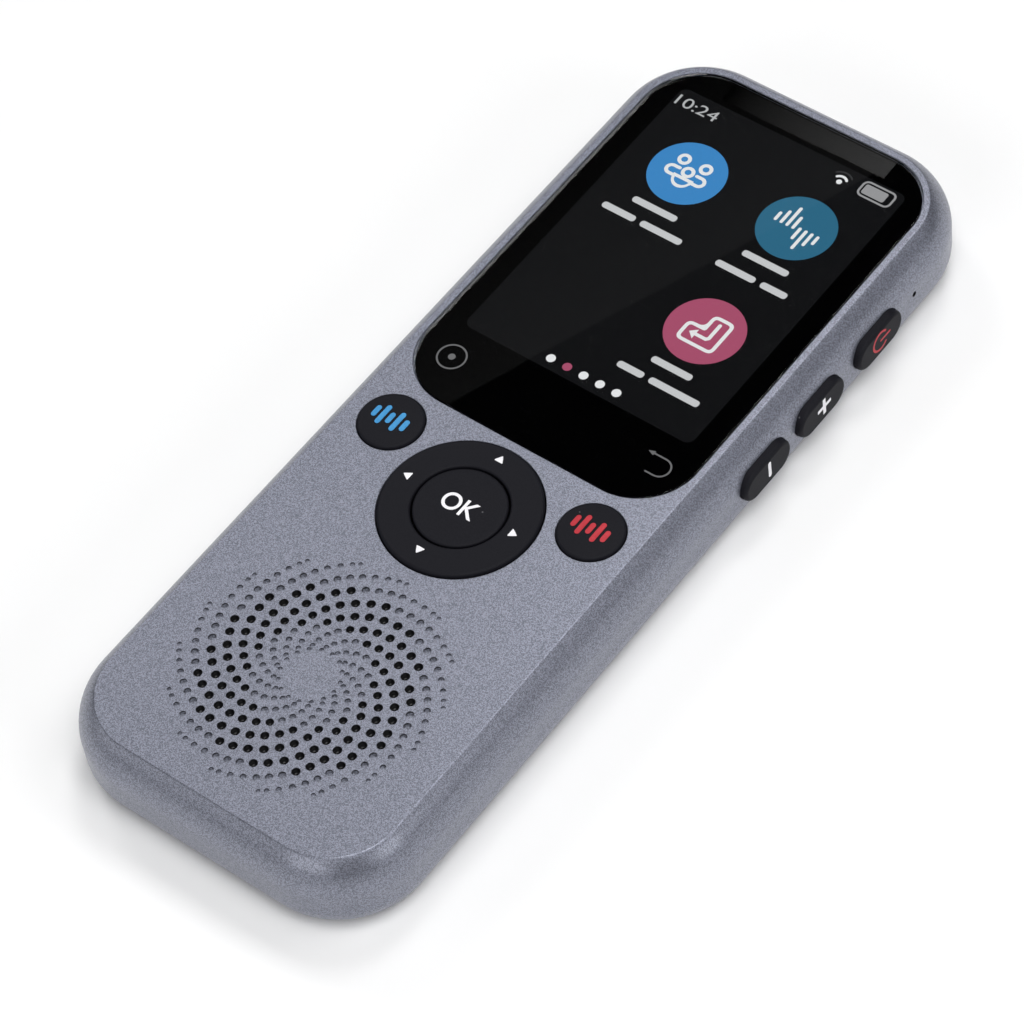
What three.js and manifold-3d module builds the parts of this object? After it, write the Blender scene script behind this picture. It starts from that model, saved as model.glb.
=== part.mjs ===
// Handheld translator: a bar-shaped pocket device with a flush screen, a round
// navigation key, two talk keys, a spiral speaker grille and three side keys.
// Millimetres. The origin is the middle of the flat back. +X is right of the
// upright screen, +Y points to the screen end and +Z points out of the screen.

import * as THREE from 'three';
import { mergeGeometries, mergeVertices } from 'three/addons/utils/BufferGeometryUtils.js';
import Module from 'manifold-3d';

const wasm = await Module();
wasm.setup();

// Overall form of the two shells.
const bodyWidth = 50.4;
const bodyLength = 135;
const bodyThickness = 12.8;
const cornerRadius = 12.3;
const edgeArcRadius = 6.88;
const edgeArcDrop = 5.5;
const creaseEase = 0.2;
const backEdgeRadius = 4.4;
const partingDrop = 2.95;
const seamGap = 0.2;

// Walls and the overlapping lip inside the seam.
const wall = 1.4;
const frontWall = 1.5;
const lipClearance = 0.2;
const lipThickness = 0.8;
const lipDepth = 0.65;

// Clearances.
const layerGap = 0.05;
const fitGap = 0.1;
const looseGap = 0.3;
const keyGap = 0.2;
const overrun = 1;

// Screen glass, its tape and the display under it.
const glassMargin = 1.05;
const glassLength = 65;
const glassThickness = 0.7;
const glassEase = 0.15;
const glassGap = 0.15;
const tapeThickness = 0.1;
const panelSideMargin = 2.5;
const panelTopMargin = 3.9;
const panelFootMargin = 4.8;
const panelThickness = 1.3;
const panelCornerRadius = 0.8;
const windowGap = 0.2;
const backlightThickness = 0.95;
const backlightRim = 1.2;
const backlightRimHeight = 0.35;

// Ribbon from the display to the main board.
const ribbonWidth = 12;
const ribbonThickness = 0.15;
const ribbonStraight = 0.3;
const ribbonConnectorGap = 4.6;
const ribbonConnectorLength = 3;
const ribbonConnectorHeight = 1.1;
const ribbonConnectorEar = 1;

// Navigation key and the OK key in its middle.
const navRadius = 10.85;
const navBelowGlass = 1.45;
const navRise = 0.5;
const navSkirt = 1;
const navPlate = 1.2;
const navEdgeEase = 0.4;
const navFlangeWidth = 0.5;
const navTiltRoom = 0.45;
const okRadius = 6.12;
const okGroove = 0.26;
const okRise = 0.45;
const okEdgeEase = 0.3;
const okFlangeWidth = 0.63;
const okFlangeThickness = 0.5;
const okStemRadius = 2;
const keyEdgeClearance = 0.25;
const keySkirt = 0.9;
const keyPlate = 1.1;

// Rocker that carries the navigation key and lets it tilt both ways.
const rockerThickness = 0.5;
const rockerRoom = 0.35;
const rockerBore = 7;
const rockerRadius = 11;
const rockerSeatWidth = 2.4;
const nubRadius = 0.9;
const nubClearance = 0.3;
const navNubRadius = 8.5;

// Talk keys, beside and above the navigation key.
const talkRadius = 4.52;
const talkBearing = THREE.MathUtils.degToRad(20.9);
const talkRise = 0.45;
const talkEdgeEase = 0.35;
const talkCrown = 0.15;
const talkFlangeWidth = 0.5;
const talkStemRadius = 1.2;
const keyFlangeThickness = 0.7;

// Speaker grille: curved arms of holes. The middle holes of each arm go through.
const grilleRadius = 17.43;
const grilleBelowNav = 1.95;
const armCount = 16;
const holesPerArm = 20;
const firstThroughHole = 7;
const lastThroughHole = 14;
const armStart = THREE.MathUtils.degToRad(85.1);
const armSweep = THREE.MathUtils.degToRad(135.6);
const armKeyShares = [[1, 0], [0.906, 0.133], [0.781, 0.301], [0.605, 0.533], [0.401, 0.787], [0.227, 1]];
const smallHoleShare = 0.0166;
const holeSwellShare = 0.0141;
const dimpleDepthShare = 0.8;
const dimpleOverrun = 0.1;

// Loudspeaker under the grille.
const speakerRadius = 14;
const speakerRimHeight = 1;
const speakerRimWidth = 1.2;
const speakerBasketDepth = 3;
const speakerBasketWall = 0.5;
const speakerMouthShare = 0.62;
const magnetRadius = 7.5;
const magnetHeight = 2.8;
const magnetBoreRadius = 1.5;
const coneThickness = 0.25;
const coneHubRadius = 3.2;
const coneDepth = 1.6;
const surroundWidth = 1.6;
const meshThickness = 0.15;
const gasketThickness = 0.5;
const gasketWidth = 1.4;
const speakerRibThickness = 0.9;
const speakerRibHeight = 1.9;

// Side keys on the right, counted from the screen end.
const sideKeyLength = 9.9;
const sideKeyHeight = 4.6;
const sideKeyRise = 0.95;
const sideKeyEase = 0.5;
const sideKeyRim = 0.35;
const sideKeyTopInset = 21.45;
const powerKeyGap = 3.2;
const volumeKeyGap = 2.2;
const sideFlangeEar = 0.8;
const sideFlangeThickness = 0.6;
const sideNubLength = 0.3;
const sideNubRadius = 0.9;

// Switch bodies and plungers, on the board's top and in its edge.
const switchWidth = 4.4;
const switchHeight = 1.1;
const plungerRadius = 0.9;
const plungerOut = 0.45;
const plungerIn = 0.3;
const plungerBoreDepth = 0.8;
const sideSwitchLength = 4.6;
const sideSwitchDepth = 3.4;
const sideSwitchHeight = 1.8;
const sidePlungerRadius = 0.6;
const sidePlungerOut = 0.5;

// Main board, its cans and chips.
const boardInset = 3;
const boardThickness = 1;
const boardSpeakerGap = 0.8;
const shieldLength = 32;
const shieldWidth = 28;
const shieldWall = 0.25;
const shieldRoom = 0.5;
const shieldAboveConnector = 3;
const processorSize = 12;
const memoryLength = 9;
const chipHeight = 0.9;
const chipSpacing = 4;

// Battery under the board, with its tape, lead and plug.
const batterySideGap = 1.7;
const batteryTopInset = 35.5;
const batteryCornerRadius = 2;
const batteryInset = 4;
const batteryTapeThickness = 0.2;
const batteryTapeMargin = 3;
const bayRibThickness = 0.8;
const bayRibHeight = 2.2;
const leadRadius = 0.55;
const leadOffset = 6;
const leadReach = 4.5;
const plugLength = 3;
const plugWidth = 5;
const plugHeight = 1.5;

// Charging socket in the screen end.
const socketWidth = 8.94;
const socketHeight = 3.16;
const socketDepth = 7.3;
const socketWall = 0.3;
const socketRecess = 0.3;
const tongueWidth = 6.7;
const tongueThickness = 0.7;
const tongueRecess = 0.6;
const tongueBaseDepth = 1.6;
const socketGap = 0.2;

// Microphone behind its hole in the right side wall, and the antenna.
const microphoneAbovePower = 4.05;
const microphoneHoleRadius = 0.35;
const microphoneRadius = 2;
const microphoneFace = 0.25;
const microphoneDrop = 0.3;
const antennaLength = 8;
const antennaWidth = 26;
const antennaThickness = 0.15;
const antennaGap = 10;

// Screws and the posts and bosses that they hold together.
const caseScrewInset = 4.93;
const caseScrewBearing = THREE.MathUtils.degToRad(72);
const caseHeadRadius = 1.5;
const caseHeadHeight = 1;
const caseHeadSink = 0.9;
const caseShaftRadius = 0.75;
const caseThreadReach = 1.3;
const casePostRadius = 2.2;
const caseBossRadius = 1.7;
const boardPostInset = 5.2;
const boardScrewLowerGap = 3.5;
const boardPinUpperInset = 13;
const boardPinRise = 0.4;
const boardHeadRadius = 1.3;
const boardHeadHeight = 0.8;
const boardShaftRadius = 0.6;
const boardShaftLength = 3;
const boardPostRadius = 1.7;
const driveRadius = 0.7;
const driveDepth = 0.5;

// Facets. These are counts, not lengths.
const cornerSteps = 5;
const pillSteps = 4;
const smallCornerSteps = 2;
const fineSides = 24;
const roundSides = 16;
const smallSides = 8;
const holeSides = 6;
const dimpleSides = 5;
const driveSides = 6;
const arcSteps = 3;
const leastCornerShare = 0.05;

// Heights that follow from the sizes above.
const faceZ = bodyThickness;
const widestZ = faceZ - edgeArcDrop;
const creaseAngle = Math.asin(edgeArcDrop / edgeArcRadius);
const creaseInset = edgeArcRadius * (1 - Math.cos(creaseAngle));
const partingZ = faceZ - partingDrop;
const frontRimZ = partingZ + seamGap / 2;
const rearRimZ = partingZ - seamGap / 2;
const ceilingZ = faceZ - frontWall;
const innerX = bodyWidth / 2 - wall;
const glassSeatZ = faceZ - glassThickness - tapeThickness - 2 * layerGap;
const panelTopZ = faceZ - glassThickness - layerGap;
const backlightTopZ = panelTopZ - panelThickness - layerGap;
const displayBottomZ = backlightTopZ - backlightThickness;
const sideKeyZ = rearRimZ - sideKeyRim - keyGap - sideKeyHeight / 2;
const boardTopZ = sideKeyZ + boardThickness / 2;
const boardBottomZ = sideKeyZ - boardThickness / 2;
const switchTopZ = boardTopZ + layerGap + switchHeight;
const stemZ = switchTopZ + plungerOut + layerGap;
const navFlangeTopZ = ceilingZ - navTiltRoom;
const navBottomZ = navFlangeTopZ - keyFlangeThickness;
const rockerTopZ = navBottomZ - rockerRoom;
const rockerBottomZ = rockerTopZ - rockerThickness;
const speakerTopZ = ceilingZ - meshThickness - gasketThickness - 3 * layerGap;

// Places along the body that follow from the sizes above.
const faceTopY = bodyLength / 2 - creaseInset;
const glassWidth = bodyWidth - 2 * (creaseInset + glassMargin);
const glassTopY = faceTopY - glassMargin;
const glassY = glassTopY - glassLength / 2;
const glassCornerRadius = cornerRadius - creaseInset - glassMargin;
const panelWidth = glassWidth - 2 * panelSideMargin;
const panelTopY = glassTopY - panelTopMargin;
const panelLength = glassLength - panelTopMargin - panelFootMargin;
const panelY = panelTopY - panelLength / 2;
const panelBottomY = panelTopY - panelLength;
const navY = glassTopY - glassLength - navBelowGlass - navRadius;
const navFlangeRadius = navRadius + keyEdgeClearance + navFlangeWidth;
const talkFlangeRadius = talkRadius + keyGap + talkFlangeWidth;
const talkReach = navFlangeRadius + talkFlangeRadius + keyEdgeClearance;
const talkX = talkReach * Math.cos(talkBearing);
const talkY = navY + talkReach * Math.sin(talkBearing);
const grilleY = navY - navRadius - grilleBelowNav - grilleRadius;
const powerKeyY = bodyLength / 2 - sideKeyTopInset - sideKeyLength / 2;
const volumeUpKeyY = powerKeyY - sideKeyLength - powerKeyGap;
const volumeDownKeyY = volumeUpKeyY - sideKeyLength - volumeKeyGap;
const microphoneY = powerKeyY + sideKeyLength / 2 + microphoneAbovePower;
const boardBottomY = grilleY + speakerRadius + fitGap + speakerRibThickness + boardSpeakerGap;
const batteryBottomY = boardBottomY + batteryInset;
const batteryLength = bodyLength / 2 - batteryTopInset - batteryBottomY;
const batteryY = batteryBottomY + batteryLength / 2;
const connectorY = panelBottomY + ribbonConnectorGap + ribbonConnectorLength / 2;
const shieldY = connectorY + ribbonConnectorLength / 2 + shieldAboveConnector + shieldLength / 2;
const socketMouthY = bodyLength / 2 - socketRecess;
const sideFlangeX = bodyWidth / 2 - edgeInset(wall, sideKeyZ + sideKeyHeight / 2) - fitGap;
const sideNubX = sideFlangeX - sideFlangeThickness - sideNubLength;
const sideSwitchX = sideNubX - layerGap - sidePlungerOut;
const batteryWidth = 2 * (sideSwitchX - sideSwitchDepth - batterySideGap);

// How far the convex edge is drawn in at a height, for a wall of some thickness.
function edgeInset(thickness, height) {
  const radius = edgeArcRadius - thickness;
  const rise = Math.max(height - widestZ, 0);
  return edgeArcRadius - Math.sqrt(radius * radius - rise * rise);
}

// A material with the colour, roughness and metalness of one finish.
function finish(color, roughness, metalness) {
  return new THREE.MeshStandardMaterial({ color, roughness, metalness });
}

// A closed geometry as a solid that can be joined and cut.
function toSolid(geometry) {
  const bare = geometry.clone();
  bare.deleteAttribute('normal');
  bare.deleteAttribute('uv');
  const merged = mergeVertices(bare);
  const index = merged.index.array;
  const triangles = [];
  for (let i = 0; i < index.length; i += 3) {
    const [a, b, c] = [index[i], index[i + 1], index[i + 2]];
    if (a !== b && b !== c && c !== a) triangles.push(a, b, c);
  }
  const vertProperties = new Float32Array(merged.attributes.position.array);
  const triVerts = new Uint32Array(triangles);
  return new wasm.Manifold(new wasm.Mesh({ numProp: 3, vertProperties, triVerts }));
}

// A finished solid as a geometry for a mesh.
function toGeometry(solid) {
  const mesh = solid.getMesh();
  const geometry = new THREE.BufferGeometry();
  geometry.setAttribute('position', new THREE.BufferAttribute(mesh.vertProperties, 3));
  geometry.setIndex(new THREE.BufferAttribute(mesh.triVerts, 1));
  geometry.computeVertexNormals();
  return geometry;
}

// The points round one rounded rectangle, drawn in by an inset.
function outlineRing(form, inset, height) {
  const radius = Math.max(form.radius - inset, form.radius * leastCornerShare);
  const centreX = form.width / 2 - inset - radius;
  const centreY = form.length / 2 - inset - radius;
  const steps = form.steps ?? cornerSteps;
  const ring = [];
  for (let corner = 0; corner < 4; corner += 1) {
    const sideX = corner === 0 || corner === 3 ? 1 : -1;
    const sideY = corner < 2 ? 1 : -1;
    for (let step = 0; step <= steps; step += 1) {
      const angle = (corner + step / steps) * Math.PI / 2;
      const x = sideX * centreX + radius * Math.cos(angle);
      const y = sideY * centreY + radius * Math.sin(angle);
      ring.push(new THREE.Vector3(x, y, height));
    }
  }
  return ring;
}

// A closed body lofted through rounded rectangles. Levels are [inset, height] pairs.
function lofted(form, levels) {
  const rings = levels.map(([inset, height]) => outlineRing(form, inset, height));
  const count = rings[0].length;
  const points = rings.flat();
  const triangles = [];
  for (let level = 0; level + 1 < rings.length; level += 1) {
    for (let i = 0; i < count; i += 1) {
      const a = level * count + i;
      const b = level * count + (i + 1) % count;
      triangles.push(a, b, b + count, a, b + count, a + count);
    }
  }
  const top = (rings.length - 1) * count;
  for (let i = 1; i + 1 < count; i += 1) {
    triangles.push(0, i + 1, i);
    triangles.push(top, top + i, top + i + 1);
  }
  const geometry = new THREE.BufferGeometry().setFromPoints(points);
  geometry.setIndex(triangles);
  return geometry;
}

// A straight plate with rounded corners.
function plate(width, length, radius, bottom, top, steps = smallCornerSteps) {
  return lofted({ width, length, radius, steps }, [[0, bottom], [0, top]]);
}

function block(width, length, bottom, top) {
  return new THREE.BoxGeometry(width, length, top - bottom).translate(0, 0, (top + bottom) / 2);
}

function rod(radius, bottom, top, sides = roundSides) {
  const height = top - bottom;
  return new THREE.CylinderGeometry(radius, radius, height, sides)
    .rotateX(Math.PI / 2)
    .translate(0, 0, bottom + height / 2);
}

// A profile of [radius, height] points turned about the Z axis.
function turned(profile, sides = fineSides) {
  const points = profile.map(([radius, height]) => new THREE.Vector2(radius, height));
  return new THREE.LatheGeometry(points, sides).rotateX(Math.PI / 2);
}

// A ring with a square section.
function turnedRing(innerRadius, outerRadius, bottom, top, sides = fineSides) {
  const corners = [[innerRadius, bottom], [outerRadius, bottom], [outerRadius, top], [innerRadius, top]];
  return turned([...corners, corners[0]], sides);
}

// Levels up the convex edge of the shells, drawn in by a wall thickness.
function edgeLevels(thickness, fromZ, toZ) {
  const radius = edgeArcRadius - thickness;
  const startAngle = Math.asin((fromZ - widestZ) / radius);
  const endAngle = Math.asin(Math.min((toZ - widestZ) / radius, 1));
  const levels = [];
  for (let step = 0; step <= arcSteps; step += 1) {
    const angle = startAngle + (endAngle - startAngle) * step / arcSteps;
    levels.push([edgeArcRadius - radius * Math.cos(angle), widestZ + radius * Math.sin(angle)]);
  }
  return levels;
}

// Levels round the back edge, drawn in by a wall thickness.
function backLevels(thickness) {
  const radius = backEdgeRadius - thickness;
  const levels = [];
  for (let step = 0; step <= arcSteps; step += 1) {
    const angle = Math.PI / 2 * step / arcSteps;
    const height = backEdgeRadius - radius * Math.cos(angle);
    levels.push([backEdgeRadius - radius * Math.sin(angle), height]);
  }
  return levels;
}

const bodyForm = { width: bodyWidth, length: bodyLength, radius: cornerRadius };

// The four case screws sit on the corner arcs, the same distance in from the edge.
function caseScrewPlaces() {
  const reach = cornerRadius - caseScrewInset;
  const x = bodyWidth / 2 - cornerRadius + reach * Math.cos(caseScrewBearing);
  const y = bodyLength / 2 - cornerRadius + reach * Math.sin(caseScrewBearing);
  return [[x, y], [-x, y], [-x, -y], [x, -y]];
}

// The board has a screw at each lower corner and a locating pin at each upper one.
function boardScrewPlaces() {
  const x = bodyWidth / 2 - boardPostInset;
  const y = boardBottomY + boardScrewLowerGap;
  return [[x, y], [-x, y]];
}

function boardPinPlaces() {
  const x = bodyWidth / 2 - boardPostInset;
  const y = bodyLength / 2 - boardPinUpperInset;
  return [[x, y], [-x, y]];
}

// Hole radius along an arm: small at both ends and fullest in the middle.
function grilleHoleRadius(index) {
  const swell = Math.sin(Math.PI * index / (holesPerArm - 1));
  return grilleRadius * (smallHoleShare + holeSwellShare * swell);
}

// Every hole of the grille, arm by arm.
function grilleHoles() {
  const curve = new THREE.SplineCurve(armKeyShares.map(([reach, turn]) => new THREE.Vector2(reach, turn)));
  const holes = [];
  for (let arm = 0; arm < armCount; arm += 1) {
    for (let index = 0; index < holesPerArm; index += 1) {
      const share = curve.getPoint(index / (holesPerArm - 1));
      const angle = armStart + armSweep * share.y + arm * 2 * Math.PI / armCount;
      const reach = grilleRadius * share.x;
      holes.push({
        x: reach * Math.cos(angle),
        y: grilleY + reach * Math.sin(angle),
        radius: grilleHoleRadius(index),
        through: index >= firstThroughHole && index <= lastThroughHole,
      });
    }
  }
  return holes;
}

// One cutter for the whole grille: rods for the open holes and cones for the dimples.
function grilleCutter() {
  const cutters = grilleHoles().map(({ x, y, radius, through }) => {
    if (through) return rod(radius, ceilingZ - overrun, faceZ + overrun, holeSides).translate(x, y, 0);
    const depth = radius * dimpleDepthShare;
    const rise = dimpleOverrun * dimpleDepthShare;
    const cone = new THREE.ConeGeometry(radius + dimpleOverrun, depth + rise, dimpleSides);
    return cone.rotateX(-Math.PI / 2).translate(x, y, faceZ + (rise - depth) / 2);
  });
  return toSolid(mergeGeometries(cutters));
}

// The side keys' places along the body, with the names of their parts.
const sideKeys = [
  { name: 'power', y: powerKeyY },
  { name: 'volume_up', y: volumeUpKeyY },
  { name: 'volume_down', y: volumeDownKeyY },
];

// The keys on the face that press straight down.
const faceKeys = [
  { name: 'ok', x: 0, y: navY },
  { name: 'talk_left', x: -talkX, y: talkY },
  { name: 'talk_right', x: talkX, y: talkY },
];

// The four ends of the navigation key.
const navEnds = [
  { name: 'nav_up', x: 0, y: navY + navNubRadius },
  { name: 'nav_down', x: 0, y: navY - navNubRadius },
  { name: 'nav_left', x: -navNubRadius, y: navY },
  { name: 'nav_right', x: navNubRadius, y: navY },
];

// Turns a geometry made along Z so that it runs along X or Y.
function alongX(geometry) {
  return geometry.rotateY(Math.PI / 2);
}

function alongY(geometry) {
  return geometry.rotateX(-Math.PI / 2);
}

// Joins several closed geometries or solids into one.
function joined(pieces) {
  const solids = pieces.map((piece) => (piece.isBufferGeometry ? toSolid(piece) : piece));
  return solids.reduce((whole, solid) => whole.add(solid));
}

function cut(body, cutters) {
  return joined([body]).subtract(joined(cutters));
}

// Three points that round the top edge of a turned profile, from the outside in.
function easedTop(radius, top, ease) {
  const corner = ease * (1 - Math.SQRT1_2);
  return [[radius, top - ease], [radius - corner, top - corner], [radius - ease, top]];
}

// Levels that round the outer edge of a lofted body.
function easedLevels(top, ease) {
  const corner = ease * (1 - Math.SQRT1_2);
  return [[0, top - ease], [corner, top - corner], [ease, top]];
}

const glassForm = { width: glassWidth, length: glassLength, radius: glassCornerRadius };
const windowWidth = panelWidth + 2 * windowGap;
const windowLength = panelLength + 2 * windowGap;
const casePostTopZ = frontRimZ - lipDepth - fitGap;
const caseBossBottomZ = casePostTopZ + fitGap;

// The flush glass lies in this recess, and the display comes up through the window in it.
function screenRecess() {
  const wider = { width: glassWidth + 2 * glassGap, length: glassLength + 2 * glassGap };
  const form = { ...wider, radius: glassCornerRadius + glassGap };
  const recess = lofted(form, [[0, glassSeatZ], [0, faceZ + overrun]]).translate(0, glassY, 0);
  const window = plate(windowWidth, windowLength, panelCornerRadius, ceilingZ - overrun, faceZ);
  return [recess, window.translate(0, panelY, 0)];
}

// The lip reaches down inside the rear shell and keeps the seam closed.
function seamLip() {
  const outer = edgeInset(wall, rearRimZ) + lipClearance;
  const inner = outer + lipThickness;
  const bottom = frontRimZ - lipDepth;
  const top = ceilingZ + fitGap;
  const solid = lofted(bodyForm, [[outer, bottom], [outer, top]]);
  const bore = lofted(bodyForm, [[inner, bottom - overrun], [inner, top + overrun]]);
  return cut(solid, [bore]);
}

// Front shell: face, convex edge, lip, screw bosses, speaker rib, key holes and grille.
function frontHousing() {
  const outside = edgeLevels(0, frontRimZ, faceZ - creaseEase / 2);
  outside.push([creaseInset + creaseEase, faceZ]);
  const inside = edgeLevels(wall, frontRimZ, ceilingZ);
  inside.unshift([inside[0][0], frontRimZ - overrun]);
  const shell = cut(lofted(bodyForm, outside), [lofted(bodyForm, inside)]);
  const bosses = caseScrewPlaces().map(([x, y]) => (
    rod(caseBossRadius, caseBossBottomZ, ceilingZ + fitGap, smallSides).translate(x, y, 0)));
  const bores = caseScrewPlaces().map(([x, y]) => (
    rod(caseShaftRadius + fitGap, caseBossBottomZ - overrun, ceilingZ, smallSides).translate(x, y, 0)));
  const ribInner = speakerRadius + fitGap;
  const ribBottom = ceilingZ - speakerRibHeight;
  const ribOuter = ribInner + speakerRibThickness;
  const rib = turnedRing(ribInner, ribOuter, ribBottom, ceilingZ + fitGap, roundSides)
    .translate(0, grilleY, 0);
  const keyHoles = [
    rod(navRadius + keyEdgeClearance, ceilingZ - overrun, faceZ + overrun, fineSides).translate(0, navY, 0),
    rod(talkRadius + keyGap, ceilingZ - overrun, faceZ + overrun, roundSides).translate(talkX, talkY, 0),
    rod(talkRadius + keyGap, ceilingZ - overrun, faceZ + overrun, roundSides).translate(-talkX, talkY, 0),
  ];
  const whole = joined([shell, seamLip(), rib, ...bosses]);
  return cut(whole, [...bores, ...keyHoles, ...screenRecess()]).subtract(grilleCutter());
}

// Stadium-shaped cutter or body in the screen end, for the charging socket.
function socketForm(inset) {
  const height = socketHeight - 2 * inset;
  return { width: socketWidth - 2 * inset, length: height, radius: height / 2, steps: pillSteps };
}

// Low ribs that hold the battery in place on the back.
function batteryBay() {
  const width = batteryWidth + 2 * looseGap;
  const length = batteryLength + 2 * looseGap;
  const top = wall + bayRibHeight;
  const outer = block(width + 2 * bayRibThickness, length + 2 * bayRibThickness, wall / 2, top);
  const inner = block(width, length, wall / 2 - overrun, top + overrun);
  return cut(outer.translate(0, batteryY, 0), [inner.translate(0, batteryY, 0)]);
}

// Rear shell: flat back, posts, battery bay, side key holes, microphone hole and socket mouth.
function rearHousing() {
  const outside = [...backLevels(0), ...edgeLevels(0, widestZ, rearRimZ)];
  const inside = [...backLevels(wall), ...edgeLevels(wall, widestZ, rearRimZ)];
  inside.push([inside.at(-1)[0], rearRimZ + overrun]);
  const shell = cut(lofted(bodyForm, outside), [lofted(bodyForm, inside)]);
  const casePosts = caseScrewPlaces().map(([x, y]) => (
    rod(casePostRadius, wall / 2, casePostTopZ, smallSides).translate(x, y, 0)));
  const boardPosts = [...boardScrewPlaces(), ...boardPinPlaces()].map(([x, y]) => (
    rod(boardPostRadius, wall / 2, boardBottomZ - layerGap, smallSides).translate(x, y, 0)));
  const boardPins = boardPinPlaces().map(([x, y]) => (
    rod(boardShaftRadius, wall, boardTopZ + boardPinRise, smallSides).translate(x, y, 0)));
  const caseBores = caseScrewPlaces().flatMap(([x, y]) => [
    rod(caseShaftRadius + fitGap, 0, casePostTopZ + overrun, smallSides).translate(x, y, 0),
    rod(caseHeadRadius + fitGap, -overrun, caseHeadSink + caseHeadHeight + layerGap).translate(x, y, 0),
  ]);
  const boreBottom = boardTopZ - boardShaftLength - fitGap;
  const boardBores = boardScrewPlaces().map(([x, y]) => (
    rod(boardShaftRadius + fitGap, boreBottom, boardBottomZ, smallSides).translate(x, y, 0)));
  const holeWidth = sideKeyHeight + 2 * keyGap;
  const holeLength = sideKeyLength + 2 * keyGap;
  const keyHoles = sideKeys.map(({ y }) => (
    alongX(plate(holeWidth, holeLength, holeWidth / 2, innerX - overrun, bodyWidth, pillSteps))
      .translate(0, y, sideKeyZ)));
  const microphoneHole = alongX(rod(microphoneHoleRadius, innerX - overrun, bodyWidth, smallSides))
    .translate(0, microphoneY, sideKeyZ - microphoneDrop);
  const mouthLevels = [[0, bodyLength / 2 - wall - overrun], [0, bodyLength / 2 + overrun]];
  const mouth = alongY(lofted(socketForm(-socketGap), mouthLevels)).translate(0, 0, sideKeyZ);
  const whole = joined([shell, batteryBay(), ...casePosts, ...boardPosts, ...boardPins]);
  return cut(whole, [...caseBores, ...boardBores, ...keyHoles, microphoneHole, mouth]);
}

// Cover glass with a fine bevel round its top.
function screenGlass() {
  const bottom = faceZ - glassThickness;
  return lofted(glassForm, [[0, bottom], [0, faceZ - glassEase], [glassEase, faceZ]]);
}

// Double-sided tape between the glass and its ledge.
function glassAdhesive() {
  const bottom = glassSeatZ + layerGap;
  const inset = glassGap;
  const sheet = lofted(glassForm, [[inset, bottom], [inset, bottom + tapeThickness]]).translate(0, glassY, 0);
  const width = windowWidth + 2 * fitGap;
  const length = windowLength + 2 * fitGap;
  const opening = plate(width, length, panelCornerRadius, bottom - overrun, bottom + overrun);
  return cut(sheet, [opening.translate(0, panelY, 0)]);
}

function displayPanel() {
  return plate(panelWidth, panelLength, panelCornerRadius, backlightTopZ + layerGap, panelTopZ);
}

// Backlight tray: a flat body with a raised rim that the panel sits on.
function displayBacklight() {
  const tray = plate(panelWidth, panelLength, panelCornerRadius, displayBottomZ, backlightTopZ);
  const width = panelWidth - 2 * backlightRim;
  const length = panelLength - 2 * backlightRim;
  const floor = backlightTopZ - backlightRimHeight;
  return cut(tray, [plate(width, length, panelCornerRadius, floor, backlightTopZ + overrun)]);
}

// The ribbon leaves the display's lower edge, folds back and plugs in on the board.
function displayFlex() {
  const topZ = (backlightTopZ + displayBottomZ) / 2;
  const lowZ = boardTopZ + layerGap + ribbonConnectorHeight / 2;
  const middleZ = (topZ + lowZ) / 2;
  const bend = (topZ - lowZ) / 2;
  const half = ribbonThickness / 2;
  const startY = panelBottomY - fitGap;
  const bendY = startY - ribbonStraight;
  const endY = connectorY - ribbonConnectorLength / 2 - fitGap;
  const shape = new THREE.Shape();
  shape.moveTo(startY, topZ + half);
  shape.absarc(bendY, middleZ, bend + half, Math.PI / 2, 3 * Math.PI / 2, false);
  shape.lineTo(endY, lowZ - half);
  shape.lineTo(endY, lowZ + half);
  shape.absarc(bendY, middleZ, bend - half, 3 * Math.PI / 2, Math.PI / 2, true);
  shape.lineTo(startY, topZ - half);
  const options = { depth: ribbonWidth, bevelEnabled: false, curveSegments: cornerSteps };
  return new THREE.ExtrudeGeometry(shape, options)
    .rotateX(Math.PI / 2)
    .rotateZ(Math.PI / 2)
    .translate(-ribbonWidth / 2, 0, 0);
}

function displayConnector() {
  const bottom = boardTopZ + layerGap;
  const width = ribbonWidth + 2 * ribbonConnectorEar;
  return block(width, ribbonConnectorLength, bottom, bottom + ribbonConnectorHeight);
}

// Moulded four-way key: a plate with two skirts, a flange that holds it under the
// face, two nubs for the left and right switches and two that rest on the rocker.
function navRing() {
  const inner = okRadius + okGroove;
  const top = faceZ + navRise;
  const under = top - navPlate;
  const ring = turned([
    [inner, navBottomZ],
    [inner + navSkirt, navBottomZ],
    [inner + navSkirt, under],
    [navRadius - navSkirt, under],
    [navRadius - navSkirt, navBottomZ],
    [navFlangeRadius, navBottomZ],
    [navFlangeRadius, navFlangeTopZ],
    [navRadius, navFlangeTopZ],
    ...easedTop(navRadius, top, navEdgeEase),
    [inner + okEdgeEase, top],
    [inner, top - okEdgeEase],
    [inner, navBottomZ],
  ]);
  const nubs = [-1, 1].flatMap((side) => [
    rod(nubRadius, stemZ, under + fitGap, smallSides).translate(side * navNubRadius, 0, 0),
    rod(nubRadius, navBottomZ, under + fitGap, smallSides).translate(0, side * navNubRadius, 0),
  ]);
  return joined([ring, ...nubs]);
}

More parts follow.
